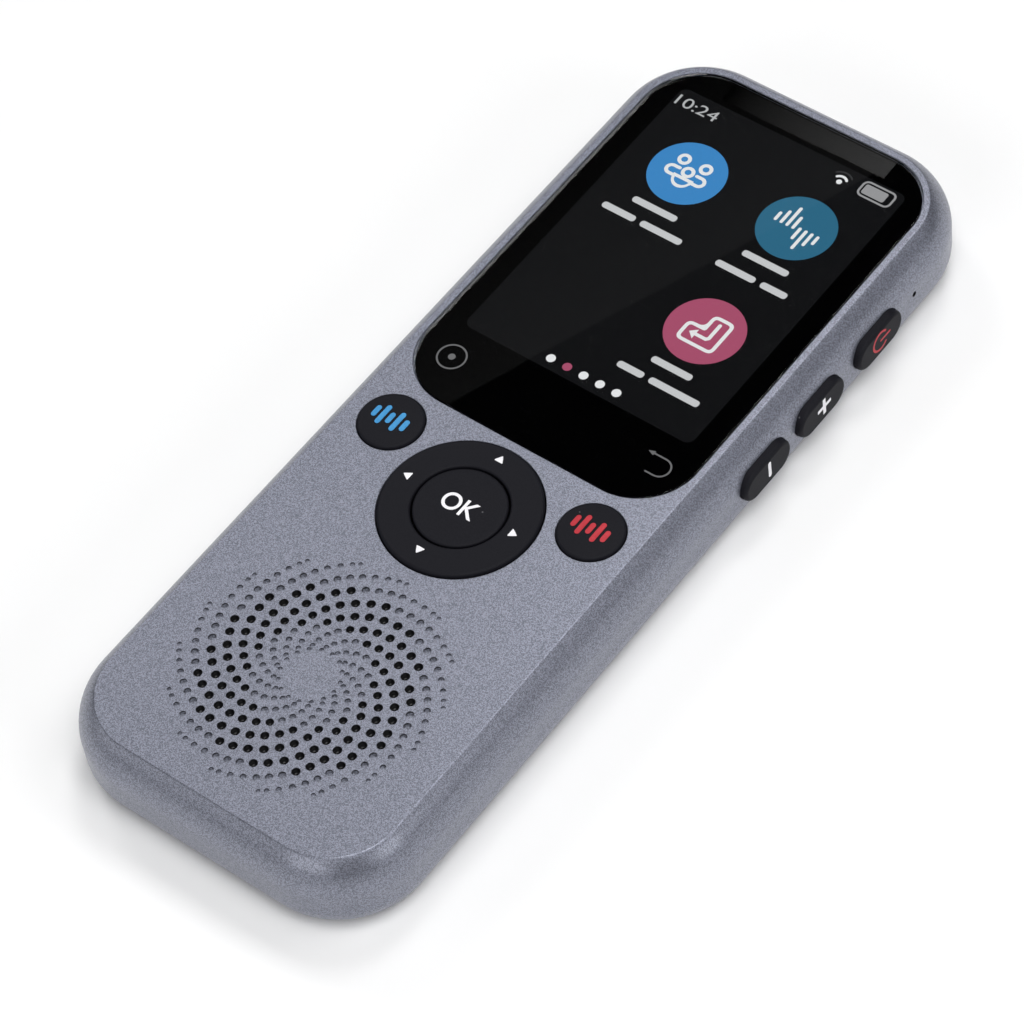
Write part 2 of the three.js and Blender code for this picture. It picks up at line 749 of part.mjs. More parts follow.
// Rocker: a thin ring with seats for the key's upper and lower nubs, nubs of its own
// under them and holes that the key's left and right nubs pass through.
function navRocker() {
  const ring = turnedRing(rockerBore, rockerRadius, rockerBottomZ, rockerTopZ);
  const seats = [-1, 1].map((side) => (
    block(rockerSeatWidth, rockerSeatWidth, rockerBottomZ + fitGap, navBottomZ - fitGap)
      .translate(0, side * navNubRadius, 0)));
  const nubs = [-1, 1].map((side) => (
    rod(nubRadius, stemZ, rockerBottomZ + fitGap, smallSides).translate(0, side * navNubRadius, 0)));
  const holes = [-1, 1].map((side) => (
    rod(nubRadius + nubClearance, rockerBottomZ - overrun, rockerTopZ + overrun, smallSides)
      .translate(side * navNubRadius, 0, 0)));
  return cut(joined([ring, ...seats, ...nubs]), holes);
}

// Moulded round key: a crowned cap with a skirt, a flange and a stem to the switch.
function roundKey(key, sides) {
  const under = key.top - keyPlate;
  return turned([
    [0, stemZ],
    [key.stemRadius, stemZ],
    [key.stemRadius, under],
    [key.radius - keySkirt, under],
    [key.radius - keySkirt, key.flangeBottom],
    [key.flangeRadius, key.flangeBottom],
    [key.flangeRadius, key.flangeTop],
    [key.radius, key.flangeTop],
    ...easedTop(key.radius, key.top, key.ease),
    [0, key.top + key.crown],
  ], sides);
}

function okButton() {
  const flangeTop = rockerTopZ - layerGap;
  return roundKey({
    radius: okRadius,
    stemRadius: okStemRadius,
    flangeRadius: okRadius + okFlangeWidth,
    flangeTop,
    flangeBottom: flangeTop - okFlangeThickness,
    top: faceZ + okRise,
    ease: okEdgeEase,
    crown: 0,
  }, fineSides);
}

function talkButton() {
  const flangeTop = ceilingZ - fitGap;
  return roundKey({
    radius: talkRadius,
    stemRadius: talkStemRadius,
    flangeRadius: talkFlangeRadius,
    flangeTop,
    flangeBottom: flangeTop - keyFlangeThickness,
    top: faceZ + talkRise,
    ease: talkEdgeEase,
    crown: talkCrown,
  }, roundSides);
}

// Pill-shaped side key along X: a rounded cap, a flange with two ears and a nub.
function sideButton() {
  const width = sideKeyHeight;
  const form = { width, length: sideKeyLength, radius: width / 2, steps: pillSteps };
  const top = bodyWidth / 2 + sideKeyRise;
  const flangeBottom = sideFlangeX - sideFlangeThickness;
  const cap = lofted(form, [[0, flangeBottom], ...easedLevels(top, sideKeyEase)]);
  const flangeWidth = width - 2 * fitGap;
  const flangeLength = sideKeyLength + 2 * sideFlangeEar;
  const flangeRadius = flangeWidth / 2;
  const flange = plate(flangeWidth, flangeLength, flangeRadius, flangeBottom, sideFlangeX, pillSteps);
  const nub = rod(sideNubRadius, sideNubX, flangeBottom + fitGap, smallSides);
  return joined([cap, flange, nub]);
}

// Switch on the board's top, with a bore for its plunger.
function switchBody() {
  const body = block(switchWidth, switchWidth, boardTopZ + layerGap, switchTopZ);
  const bore = rod(plungerRadius + fitGap, switchTopZ - plungerBoreDepth, switchTopZ + overrun, smallSides);
  return cut(body, [bore]);
}

function switchPlunger() {
  return rod(plungerRadius, switchTopZ - plungerIn, switchTopZ + plungerOut, smallSides);
}

// Switch in the board's edge, along X, with a bore for its plunger.
function sideSwitchBody() {
  const body = block(sideSwitchHeight, sideSwitchLength, sideSwitchX - sideSwitchDepth, sideSwitchX);
  const boreRadius = sidePlungerRadius + fitGap;
  const bore = rod(boreRadius, sideSwitchX - plungerBoreDepth, sideSwitchX + overrun, smallSides);
  return cut(body, [bore]);
}

function sidePlunger() {
  return rod(sidePlungerRadius, sideSwitchX - plungerIn, sideSwitchX + sidePlungerOut, smallSides);
}

// Main board: the shells' outline, ending above the speaker, with notches for the
// screw posts, the charging socket and the side switches.
function mainBoard() {
  const outline = lofted(bodyForm, [[boardInset, boardBottomZ], [boardInset, boardTopZ]]);
  const below = boardBottomZ - overrun;
  const above = boardTopZ + overrun;
  const keepLength = bodyLength / 2 - boardBottomY;
  const keep = block(bodyWidth, keepLength, below, above).translate(0, boardBottomY + keepLength / 2, 0);
  const postNotches = caseScrewPlaces().map(([x, y]) => (
    rod(casePostRadius + looseGap, below, above, smallSides).translate(x, y, 0)));
  const screwHoles = [...boardScrewPlaces(), ...boardPinPlaces()].map(([x, y]) => (
    rod(boardShaftRadius + fitGap, below, above, smallSides).translate(x, y, 0)));
  const notchDepth = socketDepth + looseGap;
  const socketNotch = block(socketWidth + 2 * looseGap, 2 * notchDepth, below, above)
    .translate(0, socketMouthY, 0);
  const edgeNotches = sideKeys.map(({ y }) => (
    block(2 * (sideSwitchDepth + fitGap), sideSwitchLength + 2 * fitGap, below, above)
      .translate(sideSwitchX, y, 0)));
  const cutters = [...postNotches, ...screwHoles, socketNotch, ...edgeNotches];
  return cut(toSolid(outline).intersect(toSolid(keep)), cutters);
}

// Pressed metal can over the chips, open at the bottom.
function shieldCan() {
  const bottom = boardTopZ + layerGap;
  const top = displayBottomZ - shieldRoom;
  const can = block(shieldWidth, shieldLength, bottom, top);
  const innerWidth = shieldWidth - 2 * shieldWall;
  const innerLength = shieldLength - 2 * shieldWall;
  return cut(can, [block(innerWidth, innerLength, bottom - overrun, top - shieldWall)]);
}

function chip(size) {
  const bottom = boardTopZ + layerGap;
  return block(size, size, bottom, bottom + chipHeight);
}

const batteryBottomZ = wall + batteryTapeThickness + 2 * layerGap;
const leadZ = wall + bayRibHeight + looseGap + leadRadius;
const plugTopZ = boardBottomZ - layerGap;
const batteryTopY = batteryY + batteryLength / 2;
const plugY = batteryTopY + leadReach + plugLength / 2;

function batteryCell() {
  return plate(batteryWidth, batteryLength, batteryCornerRadius, batteryBottomZ, boardBottomZ - looseGap);
}

function batteryPad() {
  const width = batteryWidth - 2 * batteryTapeMargin;
  const length = batteryLength - 2 * batteryTapeMargin;
  return block(width, length, wall + layerGap, wall + layerGap + batteryTapeThickness);
}

// Lead from the battery's end up to its plug under the board.
function batteryLead() {
  const start = batteryTopY + fitGap;
  const end = plugY - plugLength / 2 - fitGap;
  const middle = (start + end) / 2;
  const endZ = plugTopZ - plugHeight / 2;
  const path = new THREE.CubicBezierCurve3(
    new THREE.Vector3(leadOffset, start, leadZ),
    new THREE.Vector3(leadOffset, middle, leadZ),
    new THREE.Vector3(leadOffset, middle, endZ),
    new THREE.Vector3(leadOffset, end, endZ),
  );
  const section = new THREE.Shape().absarc(0, 0, leadRadius, 0, 2 * Math.PI, false);
  const options = { steps: cornerSteps, extrudePath: path, curveSegments: driveSides };
  return new THREE.ExtrudeGeometry(section, options);
}

function batteryPlug() {
  return block(plugWidth, plugLength, plugTopZ - plugHeight, plugTopZ).translate(leadOffset, plugY, 0);
}

// Charging socket: a rounded metal shell, open at the mouth, along Y.
function socketShell() {
  const back = socketMouthY - socketDepth;
  const outer = lofted(socketForm(0), [[0, back], [0, socketMouthY]]);
  const inner = lofted(socketForm(socketWall), [[0, back + socketWall], [0, socketMouthY + overrun]]);
  return cut(alongY(outer), [alongY(inner)]);
}

// Contact tongue on a base that fills the back of the socket.
function socketTongue() {
  const back = socketMouthY - socketDepth + socketWall + layerGap;
  const baseFront = back + tongueBaseDepth;
  const base = lofted(socketForm(socketWall + layerGap), [[0, back], [0, baseFront]]);
  const tongue = block(tongueWidth, tongueThickness, baseFront - fitGap, socketMouthY - tongueRecess);
  return joined([alongY(base), alongY(tongue)]);
}

// Speaker basket: a rim, a sloped wall and a floor with a hole for the voice coil.
function speakerFrame() {
  const bottom = speakerTopZ - speakerBasketDepth;
  const rimBottom = speakerTopZ - speakerRimHeight;
  const rimInner = speakerRadius - speakerRimWidth;
  const mouth = speakerRadius * speakerMouthShare;
  return turned([
    [coneHubRadius, bottom],
    [mouth, bottom],
    [rimInner, rimBottom],
    [speakerRadius, rimBottom],
    [speakerRadius, speakerTopZ],
    [rimInner, speakerTopZ],
    [rimInner, rimBottom + speakerBasketWall],
    [mouth - speakerBasketWall, bottom + speakerBasketWall],
    [coneHubRadius, bottom + speakerBasketWall],
    [coneHubRadius, bottom],
  ], roundSides);
}

// Paper cone with a flat cap in the middle and a raised surround.
function speakerCone() {
  const edge = speakerRadius - speakerRimWidth - fitGap;
  const rimZ = speakerTopZ - speakerRimHeight + speakerBasketWall + fitGap;
  const hubZ = rimZ - coneDepth;
  const crestZ = rimZ + coneThickness;
  const lower = [[0, hubZ], [coneHubRadius, hubZ], [edge - surroundWidth, rimZ], [edge, rimZ]];
  const upper = [
    [edge, rimZ + coneThickness],
    [edge - surroundWidth / 2, crestZ + coneThickness],
    [edge - surroundWidth, rimZ + coneThickness],
    [coneHubRadius, hubZ + coneThickness],
    [0, hubZ + coneThickness],
  ];
  return turned([...lower, ...upper], roundSides);
}

function speakerMagnet() {
  const top = speakerTopZ - speakerBasketDepth - layerGap;
  return turnedRing(magnetBoreRadius, magnetRadius, top - magnetHeight, top, roundSides);
}

function speakerMesh() {
  const top = ceilingZ - layerGap;
  return rod(speakerRadius - fitGap, top - meshThickness, top);
}

function speakerGasket() {
  const top = ceilingZ - meshThickness - 2 * layerGap;
  const outer = speakerRadius - fitGap;
  return turnedRing(outer - gasketWidth, outer, top - gasketThickness, top, roundSides);
}

// Microphone capsule against the board's edge, facing its hole in the side wall.
function microphoneCapsule() {
  const back = bodyWidth / 2 - boardInset + fitGap;
  return alongX(rod(microphoneRadius, back, innerX - microphoneFace, roundSides));
}

function antennaPatch() {
  const bottom = wall + layerGap;
  const y = batteryTopY + antennaGap + antennaLength / 2;
  return block(antennaWidth, antennaLength, bottom, bottom + antennaThickness).translate(0, y, 0);
}

// A screw with its head below its shaft and a socket in the head.
function screw(headRadius, headHeight, shaftRadius, shaftLength) {
  const whole = turned([
    [0, -headHeight],
    [headRadius, -headHeight],
    [headRadius, 0],
    [shaftRadius, 0],
    [shaftRadius, shaftLength],
    [0, shaftLength],
  ], smallSides);
  const socket = rod(driveRadius, -headHeight - overrun, driveDepth - headHeight, driveSides);
  return cut(whole, [socket]);
}

// A case screw goes in from the back, through its post and into its front boss.
const caseSeatZ = caseHeadSink + caseHeadHeight;

function caseScrew() {
  const length = caseBossBottomZ + caseThreadReach - caseSeatZ;
  return screw(caseHeadRadius, caseHeadHeight, caseShaftRadius, length);
}

// A board screw goes down through the board into its post.
function boardScrew() {
  return screw(boardHeadRadius, boardHeadHeight, boardShaftRadius, boardShaftLength);
}

const translator = new THREE.Group();

// Adds one named sub-part at its place, with a material of its own.
function addPart(name, shape, material, place = [0, 0, 0], turn = 0) {
  const solid = joined([shape]);
  const mesh = new THREE.Mesh(toGeometry(solid), finish(...material));
  mesh.name = name;
  mesh.position.set(...place);
  mesh.rotation.y = turn;
  translator.add(mesh);
}

const paint = [0x8d9099, 0.42, 0.55];
const keyRubber = [0x17181c, 0.55, 0];
const blackGlass = [0x050506, 0.05, 0];
const blackPlastic = [0x1b1b1d, 0.6, 0];
const steel = [0xa9abad, 0.35, 0.9];
const boardGreen = [0x14532d, 0.5, 0];
const foam = [0x26262a, 0.95, 0];
const brass = [0xb39a5b, 0.35, 0.9];
const foil = [0xb9bcc2, 0.4, 0.6];

addPart('front_housing', frontHousing(), paint);
addPart('rear_housing', rearHousing(), paint);
addPart('screen_glass', screenGlass(), blackGlass, [0, glassY, 0]);
addPart('glass_adhesive', glassAdhesive(), foam);
addPart('display_panel', displayPanel(), blackGlass, [0, panelY, 0]);
addPart('display_backlight', displayBacklight(), steel, [0, panelY, 0]);
addPart('display_flex', displayFlex(), [0xa5671d, 0.5, 0]);
addPart('display_connector', displayConnector(), blackPlastic, [0, connectorY, 0]);
addPart('main_board', mainBoard(), boardGreen);
addPart('shield_can', shieldCan(), steel, [0, shieldY, 0]);
const processorY = shieldY - (chipSpacing + processorSize) / 2;
const memoryY = shieldY + (chipSpacing + memoryLength) / 2;
addPart('processor_chip', chip(processorSize), blackPlastic, [0, processorY, 0]);
addPart('memory_chip', chip(memoryLength), blackPlastic, [0, memoryY, 0]);
addPart('battery', batteryCell(), foil, [0, batteryY, 0]);
addPart('battery_pad', batteryPad(), foam, [0, batteryY, 0]);
addPart('battery_lead', batteryLead(), [0x8c1c1c, 0.5, 0]);
addPart('battery_plug', batteryPlug(), [0xe6e2d8, 0.5, 0]);
addPart('usb_shell', socketShell(), steel, [0, 0, sideKeyZ]);
addPart('usb_tongue', socketTongue(), blackPlastic, [0, 0, sideKeyZ]);
addPart('speaker_mesh', speakerMesh(), foam, [0, grilleY, 0]);
addPart('speaker_gasket', speakerGasket(), foam, [0, grilleY, 0]);
addPart('speaker_frame', speakerFrame(), steel, [0, grilleY, 0]);
addPart('speaker_cone', speakerCone(), blackPlastic, [0, grilleY, 0]);
addPart('speaker_magnet', speakerMagnet(), steel, [0, grilleY, 0]);
addPart('microphone', microphoneCapsule(), steel, [0, microphoneY, sideKeyZ - microphoneDrop]);
addPart('wifi_antenna', antennaPatch(), brass);
addPart('nav_ring', navRing(), keyRubber, [0, navY, 0]);
addPart('nav_rocker', navRocker(), blackPlastic, [0, navY, 0]);
addPart('ok_button', okButton(), keyRubber, [0, navY, 0]);
addPart('talk_left_button', talkButton(), keyRubber, [-talkX, talkY, 0]);
addPart('talk_right_button', talkButton(), keyRubber, [talkX, talkY, 0]);
for (const { name, x, y } of [...faceKeys, ...navEnds]) {
  addPart(`${name}_switch`, switchBody(), steel, [x, y, 0]);
  addPart(`${name}_plunger`, switchPlunger(), blackPlastic, [x, y, 0]);
}
for (const { name, y } of sideKeys) {
  addPart(`${name}_button`, sideButton(), keyRubber, [0, y, sideKeyZ], Math.PI / 2);
  addPart(`${name}_switch`, sideSwitchBody(), steel, [0, y, sideKeyZ], Math.PI / 2);
  addPart(`${name}_plunger`, sidePlunger(), blackPlastic, [0, y, sideKeyZ], Math.PI / 2);
}
for (const [index, [x, y]] of caseScrewPlaces().entries()) {
  addPart(`case_screw_${index + 1}`, caseScrew(), steel, [x, y, caseSeatZ]);
}
for (const [index, [x, y]] of boardScrewPlaces().entries()) {
  addPart(`board_screw_${index + 1}`, boardScrew(), steel, [x, y, boardTopZ + layerGap], Math.PI);
}

export default translator;
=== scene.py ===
import math
from collections import namedtuple

import bmesh
import bpy
from mathutils import Matrix, Vector


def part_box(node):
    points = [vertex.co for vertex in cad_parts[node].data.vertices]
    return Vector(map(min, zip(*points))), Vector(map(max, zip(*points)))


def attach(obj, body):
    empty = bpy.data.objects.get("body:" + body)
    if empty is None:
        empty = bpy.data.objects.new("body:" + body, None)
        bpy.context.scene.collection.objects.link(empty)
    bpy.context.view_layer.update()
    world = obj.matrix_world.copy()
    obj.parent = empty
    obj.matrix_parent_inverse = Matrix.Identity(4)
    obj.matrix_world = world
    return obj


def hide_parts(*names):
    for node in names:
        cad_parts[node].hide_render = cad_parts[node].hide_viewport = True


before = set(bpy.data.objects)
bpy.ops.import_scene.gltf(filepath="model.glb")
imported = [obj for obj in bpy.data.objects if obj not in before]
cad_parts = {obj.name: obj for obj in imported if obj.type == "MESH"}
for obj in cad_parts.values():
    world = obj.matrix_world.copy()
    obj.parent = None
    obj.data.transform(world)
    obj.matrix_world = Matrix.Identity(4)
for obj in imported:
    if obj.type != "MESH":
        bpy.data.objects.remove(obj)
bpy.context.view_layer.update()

# Camera
# A long lens looks down on the face from beyond its lower right corner, rolled a
# little, so that the translator lies across the picture from corner to corner.
mm = 0.001
camera_aim = Vector((5.708, -10.398, 12.8)) * mm
camera_distance = 527.633 * mm
camera_azimuth = math.radians(44.5309)
camera_elevation = math.radians(52.9292)
camera_roll = math.radians(-9.1007)
camera_lens = 148.306
camera_sensor = 36
camera_near = 10 * mm

camera_side = Vector((math.sin(camera_azimuth), -math.cos(camera_azimuth), 0))
towards_camera = camera_side * math.cos(camera_elevation) + Vector((0, 0, math.sin(camera_elevation)))
camera_data = bpy.data.cameras.new("camera")
camera_data.lens = camera_lens
camera_data.sensor_width = camera_sensor
camera_data.clip_start = camera_near
camera = bpy.data.objects.new("camera", camera_data)
level_view = towards_camera.to_track_quat("Z", "Y").to_matrix().to_4x4()
standing_place = Matrix.Translation(camera_aim + towards_camera * camera_distance)
camera.matrix_world = standing_place @ level_view @ Matrix.Rotation(camera_roll, 4, "Z")
bpy.context.scene.collection.objects.link(camera)
bpy.context.scene.camera = camera


# Rear housing
# The back half of the case is an injection moulded tray with a flat back, rounded back
# edges, screw posts and a bay for the battery. It is sprayed with grey metallic paint.
Outline = namedtuple("Outline", "width length radius steps")

body_low, body_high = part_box("rear_housing")
body_width = 50.4 * mm
body_length = body_high.y - body_low.y
corner_radius = 12.3 * mm
edge_radius = 6.88 * mm
edge_drop = 5.5 * mm
back_radius = 4.4 * mm
wall = 1.4 * mm
face_wall = 1.5 * mm
key_gap = 0.1 * mm
fit_gap = 0.1 * mm
loose_gap = 0.3 * mm
layer_gap = 0.05 * mm
rim_ease = 0.08 * mm
seam_close = 0.09 * mm
overrun = 1 * mm
face_z = 12.8 * mm
widest_z = face_z - edge_drop
ceiling_z = face_z - face_wall
rear_rim_z = body_high.z
lip_depth = 0.65 * mm
front_rim_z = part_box("front_housing")[0].z + lip_depth
board_low, board_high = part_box("main_board")
corner_steps = 20
arc_steps = 10
least_corner_share = 0.05
sharp_angle = math.radians(35)
flat_weight = 90
body_outline = Outline(body_width, body_length, corner_radius, corner_steps)


def outline_ring(outline, inset, height, centre_y=0):
    """The points of one rounded rectangle, drawn in by an inset."""
    radius = max(outline.radius - inset, outline.radius * least_corner_share)
    reach_x = outline.width / 2 - inset - radius
    reach_y = outline.length / 2 - inset - radius
    points = []
    for corner, (side_x, side_y) in enumerate(((1, 1), (-1, 1), (-1, -1), (1, -1))):
        for step in range(outline.steps + 1):
            angle = (corner + step / outline.steps) * math.pi / 2
            x = side_x * reach_x + radius * math.cos(angle)
            y = side_y * reach_y + radius * math.sin(angle)
            points.append((x, y + centre_y, height))
    return points


def solid_of(form, name="form"):
    """A bmesh as an object in the scene."""
    bmesh.ops.recalc_face_normals(form, faces=form.faces)
    mesh = bpy.data.meshes.new(name)
    form.to_mesh(mesh)
    form.free()
    piece = bpy.data.objects.new(name, mesh)
    bpy.context.scene.collection.objects.link(piece)
    return piece


def loft(rings, name="form"):
    """A closed body through a stack of outlines with as many points each."""
    form = bmesh.new()
    loops = [[form.verts.new(point) for point in ring] for ring in rings]
    count = len(loops[0])
    for low, high in zip(loops, loops[1:]):
        for i in range(count):
            j = (i + 1) % count
            form.faces.new((low[i], low[j], high[j], high[i]))
    form.faces.new(list(reversed(loops[0])))
    form.faces.new(loops[-1])
    return solid_of(form, name)


def plate(outline, bottom, top, centre_y=0):
    return loft([outline_ring(outline, 0, z, centre_y) for z in (bottom, top)])


def turned(profile, sides, place=(0, 0)):
    """A profile of radius and height points turned about an upright axis."""
    form = bmesh.new()
    stations = []
    for radius, height in profile:
        if radius == 0:
            stations.append([form.verts.new((place[0], place[1], height))])
            continue
        ring = []
        for i in range(sides):
            angle = 2 * math.pi * i / sides
            x = place[0] + radius * math.cos(angle)
            y = place[1] + radius * math.sin(angle)
            ring.append(form.verts.new((x, y, height)))
        stations.append(ring)
    closed = len(stations[0]) > 1
    pairs = list(zip(stations, stations[1:] + stations[:1] if closed else stations[1:]))
    for low, high in pairs:
        for i in range(sides):
            j = (i + 1) % sides
            corners = [low[i % len(low)], low[j % len(low)], high[j % len(high)], high[i % len(high)]]
            form.faces.new(list(dict.fromkeys(corners)))
    return solid_of(form)


def rod(radius, bottom, top, place, sides=32):
    return turned([(0, bottom), (radius, bottom), (radius, top), (0, top)], sides, place)


def block(low, high):
    form = bmesh.new()
    bmesh.ops.create_cube(form, size=1)
    for vert in form.verts:
        vert.co = [(a + b) / 2 + (b - a) * c for a, b, c in zip(low, high, vert.co)]
    return solid_of(form)


def shaped(body, others, operation):
    """Joins other solids to a body or cuts them from it, one after another."""
    for other in others:
        step = body.modifiers.new("shape", "BOOLEAN")
        step.operation = operation
        step.solver = "MANIFOLD"
        step.object = other
    settle(body)
    for other in others:
        bpy.data.objects.remove(other)
    return body


def settle(piece):
    """Puts the result of a piece's modifiers into its mesh."""
    graph = bpy.context.evaluated_depsgraph_get()
    mesh = bpy.data.meshes.new_from_object(piece.evaluated_get(graph))
    piece.modifiers.clear()
    mesh.name = piece.name
    piece.data = mesh


def evenly_shaded(piece):
    """Smooth shading that keeps flat faces flat and hard edges hard."""
    piece.data.shade_smooth()
    piece.data.set_sharp_from_angle(angle=sharp_angle)
    weighting = piece.modifiers.new("shading", "WEIGHTED_NORMAL")
    weighting.keep_sharp = True
    weighting.weight = flat_weight
    settle(piece)


def merged(pieces):
    """Several solids that don't touch as one object."""
    form = bmesh.new()
    for piece in pieces:
        form.from_mesh(piece.data)
        bpy.data.objects.remove(piece)
    return solid_of(form)


def edge_inset(thickness, height):
    """How far the convex edge is drawn in at a height, for a wall of some thickness."""
    rise = max(height - widest_z, 0)
    return edge_radius - math.sqrt((edge_radius - thickness) ** 2 - rise * rise)


def edge_rings(thickness, start_angle, end_angle):
    """Outlines up the convex edge between two angles above the widest line."""
    radius = edge_radius - thickness
    rings = []
    for step in range(arc_steps + 1):
        angle = start_angle + (end_angle - start_angle) * step / arc_steps
        inset = edge_radius - radius * math.cos(angle)
        rings.append(outline_ring(body_outline, inset, widest_z + radius * math.sin(angle)))
    return rings


def edge_angle(thickness, height):
    return math.asin(min((height - widest_z) / (edge_radius - thickness), 1))


def back_rings(thickness):
    """Outlines round the back edge, from the flat back out to the side wall."""
    radius = back_radius - thickness
    rings = []
    for step in range(arc_steps + 1):
        angle = math.pi / 2 * step / arc_steps
        height = back_radius - radius * math.cos(angle)
        rings.append(outline_ring(body_outline, back_radius - radius * math.sin(angle), height))
    return rings


def on_x(piece, y, z):
    """Turns a piece made upright so that it points along X, at a place on the side wall."""
    turn = Matrix.Translation((0, y, z)) @ Matrix.Rotation(math.pi / 2, 4, "Y")
    piece.data.transform(turn)
    return piece


def on_y(piece, z):
    """Turns a piece made upright so that it points along Y, in the screen end."""
    turn = Matrix.Translation((0, 0, z)) @ Matrix.Rotation(-math.pi / 2, 4, "X")
    piece.data.transform(turn)
    return piece


def middle(node):
    low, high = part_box(node)
    return (low + high) / 2


case_head_radius = 1.5 * mm
case_head_height = 1 * mm
case_head_sink = 0.9 * mm
case_shaft_radius = 0.75 * mm
case_post_radius = 2.2 * mm
case_post_drop = 0.75 * mm
case_post_top = front_rim_z - case_post_drop
board_post_radius = 1.7 * mm
board_shaft_radius = 0.6 * mm
board_screw_length = 3.1 * mm
board_pin_rise = 0.4 * mm
board_pin_from_side = 5.2 * mm
board_pin_from_end = 13 * mm
board_pin_x = body_width / 2 - board_pin_from_side
board_pin_y = body_length / 2 - board_pin_from_end
bay_rib = 0.8 * mm
bay_rib_rise = 2.2 * mm
case_screw_places = [middle(f"case_screw_{number}").xy for number in range(1, 5)]
board_screw_places = [middle(f"board_screw_{number}").xy for number in range(1, 3)]
board_pin_places = [(board_pin_x, board_pin_y), (-board_pin_x, board_pin_y)]
side_key_nodes = ("power_button", "volume_up_button", "volume_down_button")
side_key_drop = 0.15 * mm
side_key_z = middle("power_button").z - side_key_drop
side_key_length = 9.9 * mm
side_key_height = 4.8 * mm
side_hole = Outline(side_key_height + 2 * key_gap, side_key_length + 2 * key_gap,
                    side_key_height / 2 + key_gap, 12)
microphone_place = middle("microphone")
microphone_hole_radius = 0.42 * mm
microphone_hole_sides = 20
socket_gap = 0.2 * mm
socket_low, socket_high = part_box("usb_shell")
socket_width = socket_high.x - socket_low.x
socket_height = socket_high.z - socket_low.z
socket_z = (socket_low.z + socket_high.z) / 2


def socket_outline(inset):
    height = socket_height - 2 * inset
    return Outline(socket_width - 2 * inset, height, height / 2, 12)


def hole_flare(radius, place, surface_z, depth, sides=48):
    """A round cutter whose mouth opens out a little, so that the hole's rim is eased."""
    profile = [
        (0, surface_z - depth),
        (radius, surface_z - depth),
        (radius, surface_z - rim_ease),
        (radius + rim_ease, surface_z),
        (radius + rim_ease + overrun, surface_z + overrun),
        (0, surface_z + overrun),
    ]
    return turned(profile, sides, place)


def battery_bay():
    """Low ribs round the battery on the inside of the back."""
    low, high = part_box("battery")
    edge = loose_gap + bay_rib
    top = wall + bay_rib_rise
    outer = block((low.x - edge, low.y - edge, wall / 2), (high.x + edge, high.y + edge, top))
    inner = block((low.x - loose_gap, low.y - loose_gap, 0),
                  (high.x + loose_gap, high.y + loose_gap, top + overrun))
    return shaped(outer, [inner], "DIFFERENCE")


def rear_housing():
    """A tray in the shape of the back, with its posts, its bay and its holes."""
    seam_z = rear_rim_z + seam_close
    outside = back_rings(0) + edge_rings(0, 0, edge_angle(0, seam_z))
    inside = back_rings(wall) + edge_rings(wall, 0, edge_angle(wall, seam_z))
    inside.append(outline_ring(body_outline, edge_inset(wall, seam_z), seam_z + overrun))
    shell = shaped(loft(outside, "rear_shell"), [loft(inside)], "DIFFERENCE")
    posts = [rod(case_post_radius, wall / 2, case_post_top, place) for place in case_screw_places]
    post_top = board_low.z - layer_gap
    for place in board_screw_places + board_pin_places:
        posts.append(rod(board_post_radius, wall / 2, post_top, place))
    for place in board_pin_places:
        posts.append(rod(board_shaft_radius, wall, board_high.z + board_pin_rise, place))
    shaped(shell, posts + [battery_bay()], "UNION")
    cutters = []
    for x, y in case_screw_places:
        cutters.append(rod(case_shaft_radius + fit_gap, 0, case_post_top + overrun, (x, y)))
        pocket = hole_flare(case_head_radius + fit_gap, (x, -y), 0,
                            case_head_sink + case_head_height + layer_gap)
        pocket.data.transform(Matrix.Rotation(math.pi, 4, "X"))
        cutters.append(pocket)
    screw_end = board_high.z - board_screw_length
    for place in board_screw_places:
        cutters.append(rod(board_shaft_radius + fit_gap, screw_end, board_low.z, place))
    for node in side_key_nodes:
        hole = plate(side_hole, body_width / 2 - wall - overrun, body_width)
        cutters.append(on_x(hole, middle(node).y, side_key_z))
    hole = rod(microphone_hole_radius, body_width / 2 - wall - overrun, body_width, (0, 0),
               microphone_hole_sides)
    cutters.append(on_x(hole, microphone_place.y, microphone_place.z))
    mouth = plate(socket_outline(-socket_gap), body_length / 2 - wall - overrun, body_length)
    cutters.append(on_y(mouth, socket_z))
    return shaped(shell, cutters, "DIFFERENCE")


blend_start = 0.3
blend_end = 0.7


def bare_material(name):
    """A new material with its node tree and shader."""
    material = bpy.data.materials.new(name)
    material.use_nodes = True
    return material, material.node_tree, material.node_tree.nodes["Principled BSDF"]


def add_node(tree, kind, **settings):
    """A shader node, with each setting put in its socket or on the node itself."""
    node = tree.nodes.new(f"ShaderNode{kind}")
    for name, value in settings.items():
        if name in node.inputs:
            node.inputs[name].default_value = value
        else:
            setattr(node, name, value)
    return node


def set_sockets(node, values):
    """Sets several of a node's own sockets."""
    for name, value in values.items():
        node.inputs[name].default_value = value


def object_place(tree):
    return add_node(tree, "TexCoord").outputs["Object"]


def grain(tree, size, detail=2):
    """Soft noise with grains of a real size, fixed to the piece."""
    noise = add_node(tree, "TexNoise", Scale=1 / size, Detail=detail)
    tree.links.new(object_place(tree), noise.inputs["Vector"])
    return noise.outputs["Fac"]


def blend_colours(tree, share, dark, light):
    """A colour that follows a pattern's middle values from dark to light."""
    ramp = add_node(tree, "ValToRGB")
    ramp.color_ramp.elements[0].color = (*dark, 1)
    ramp.color_ramp.elements[1].color = (*light, 1)
    ramp.color_ramp.elements[0].position = blend_start
    ramp.color_ramp.elements[1].position = blend_end
    tree.links.new(share, ramp.inputs["Fac"])
    return ramp.outputs["Color"]


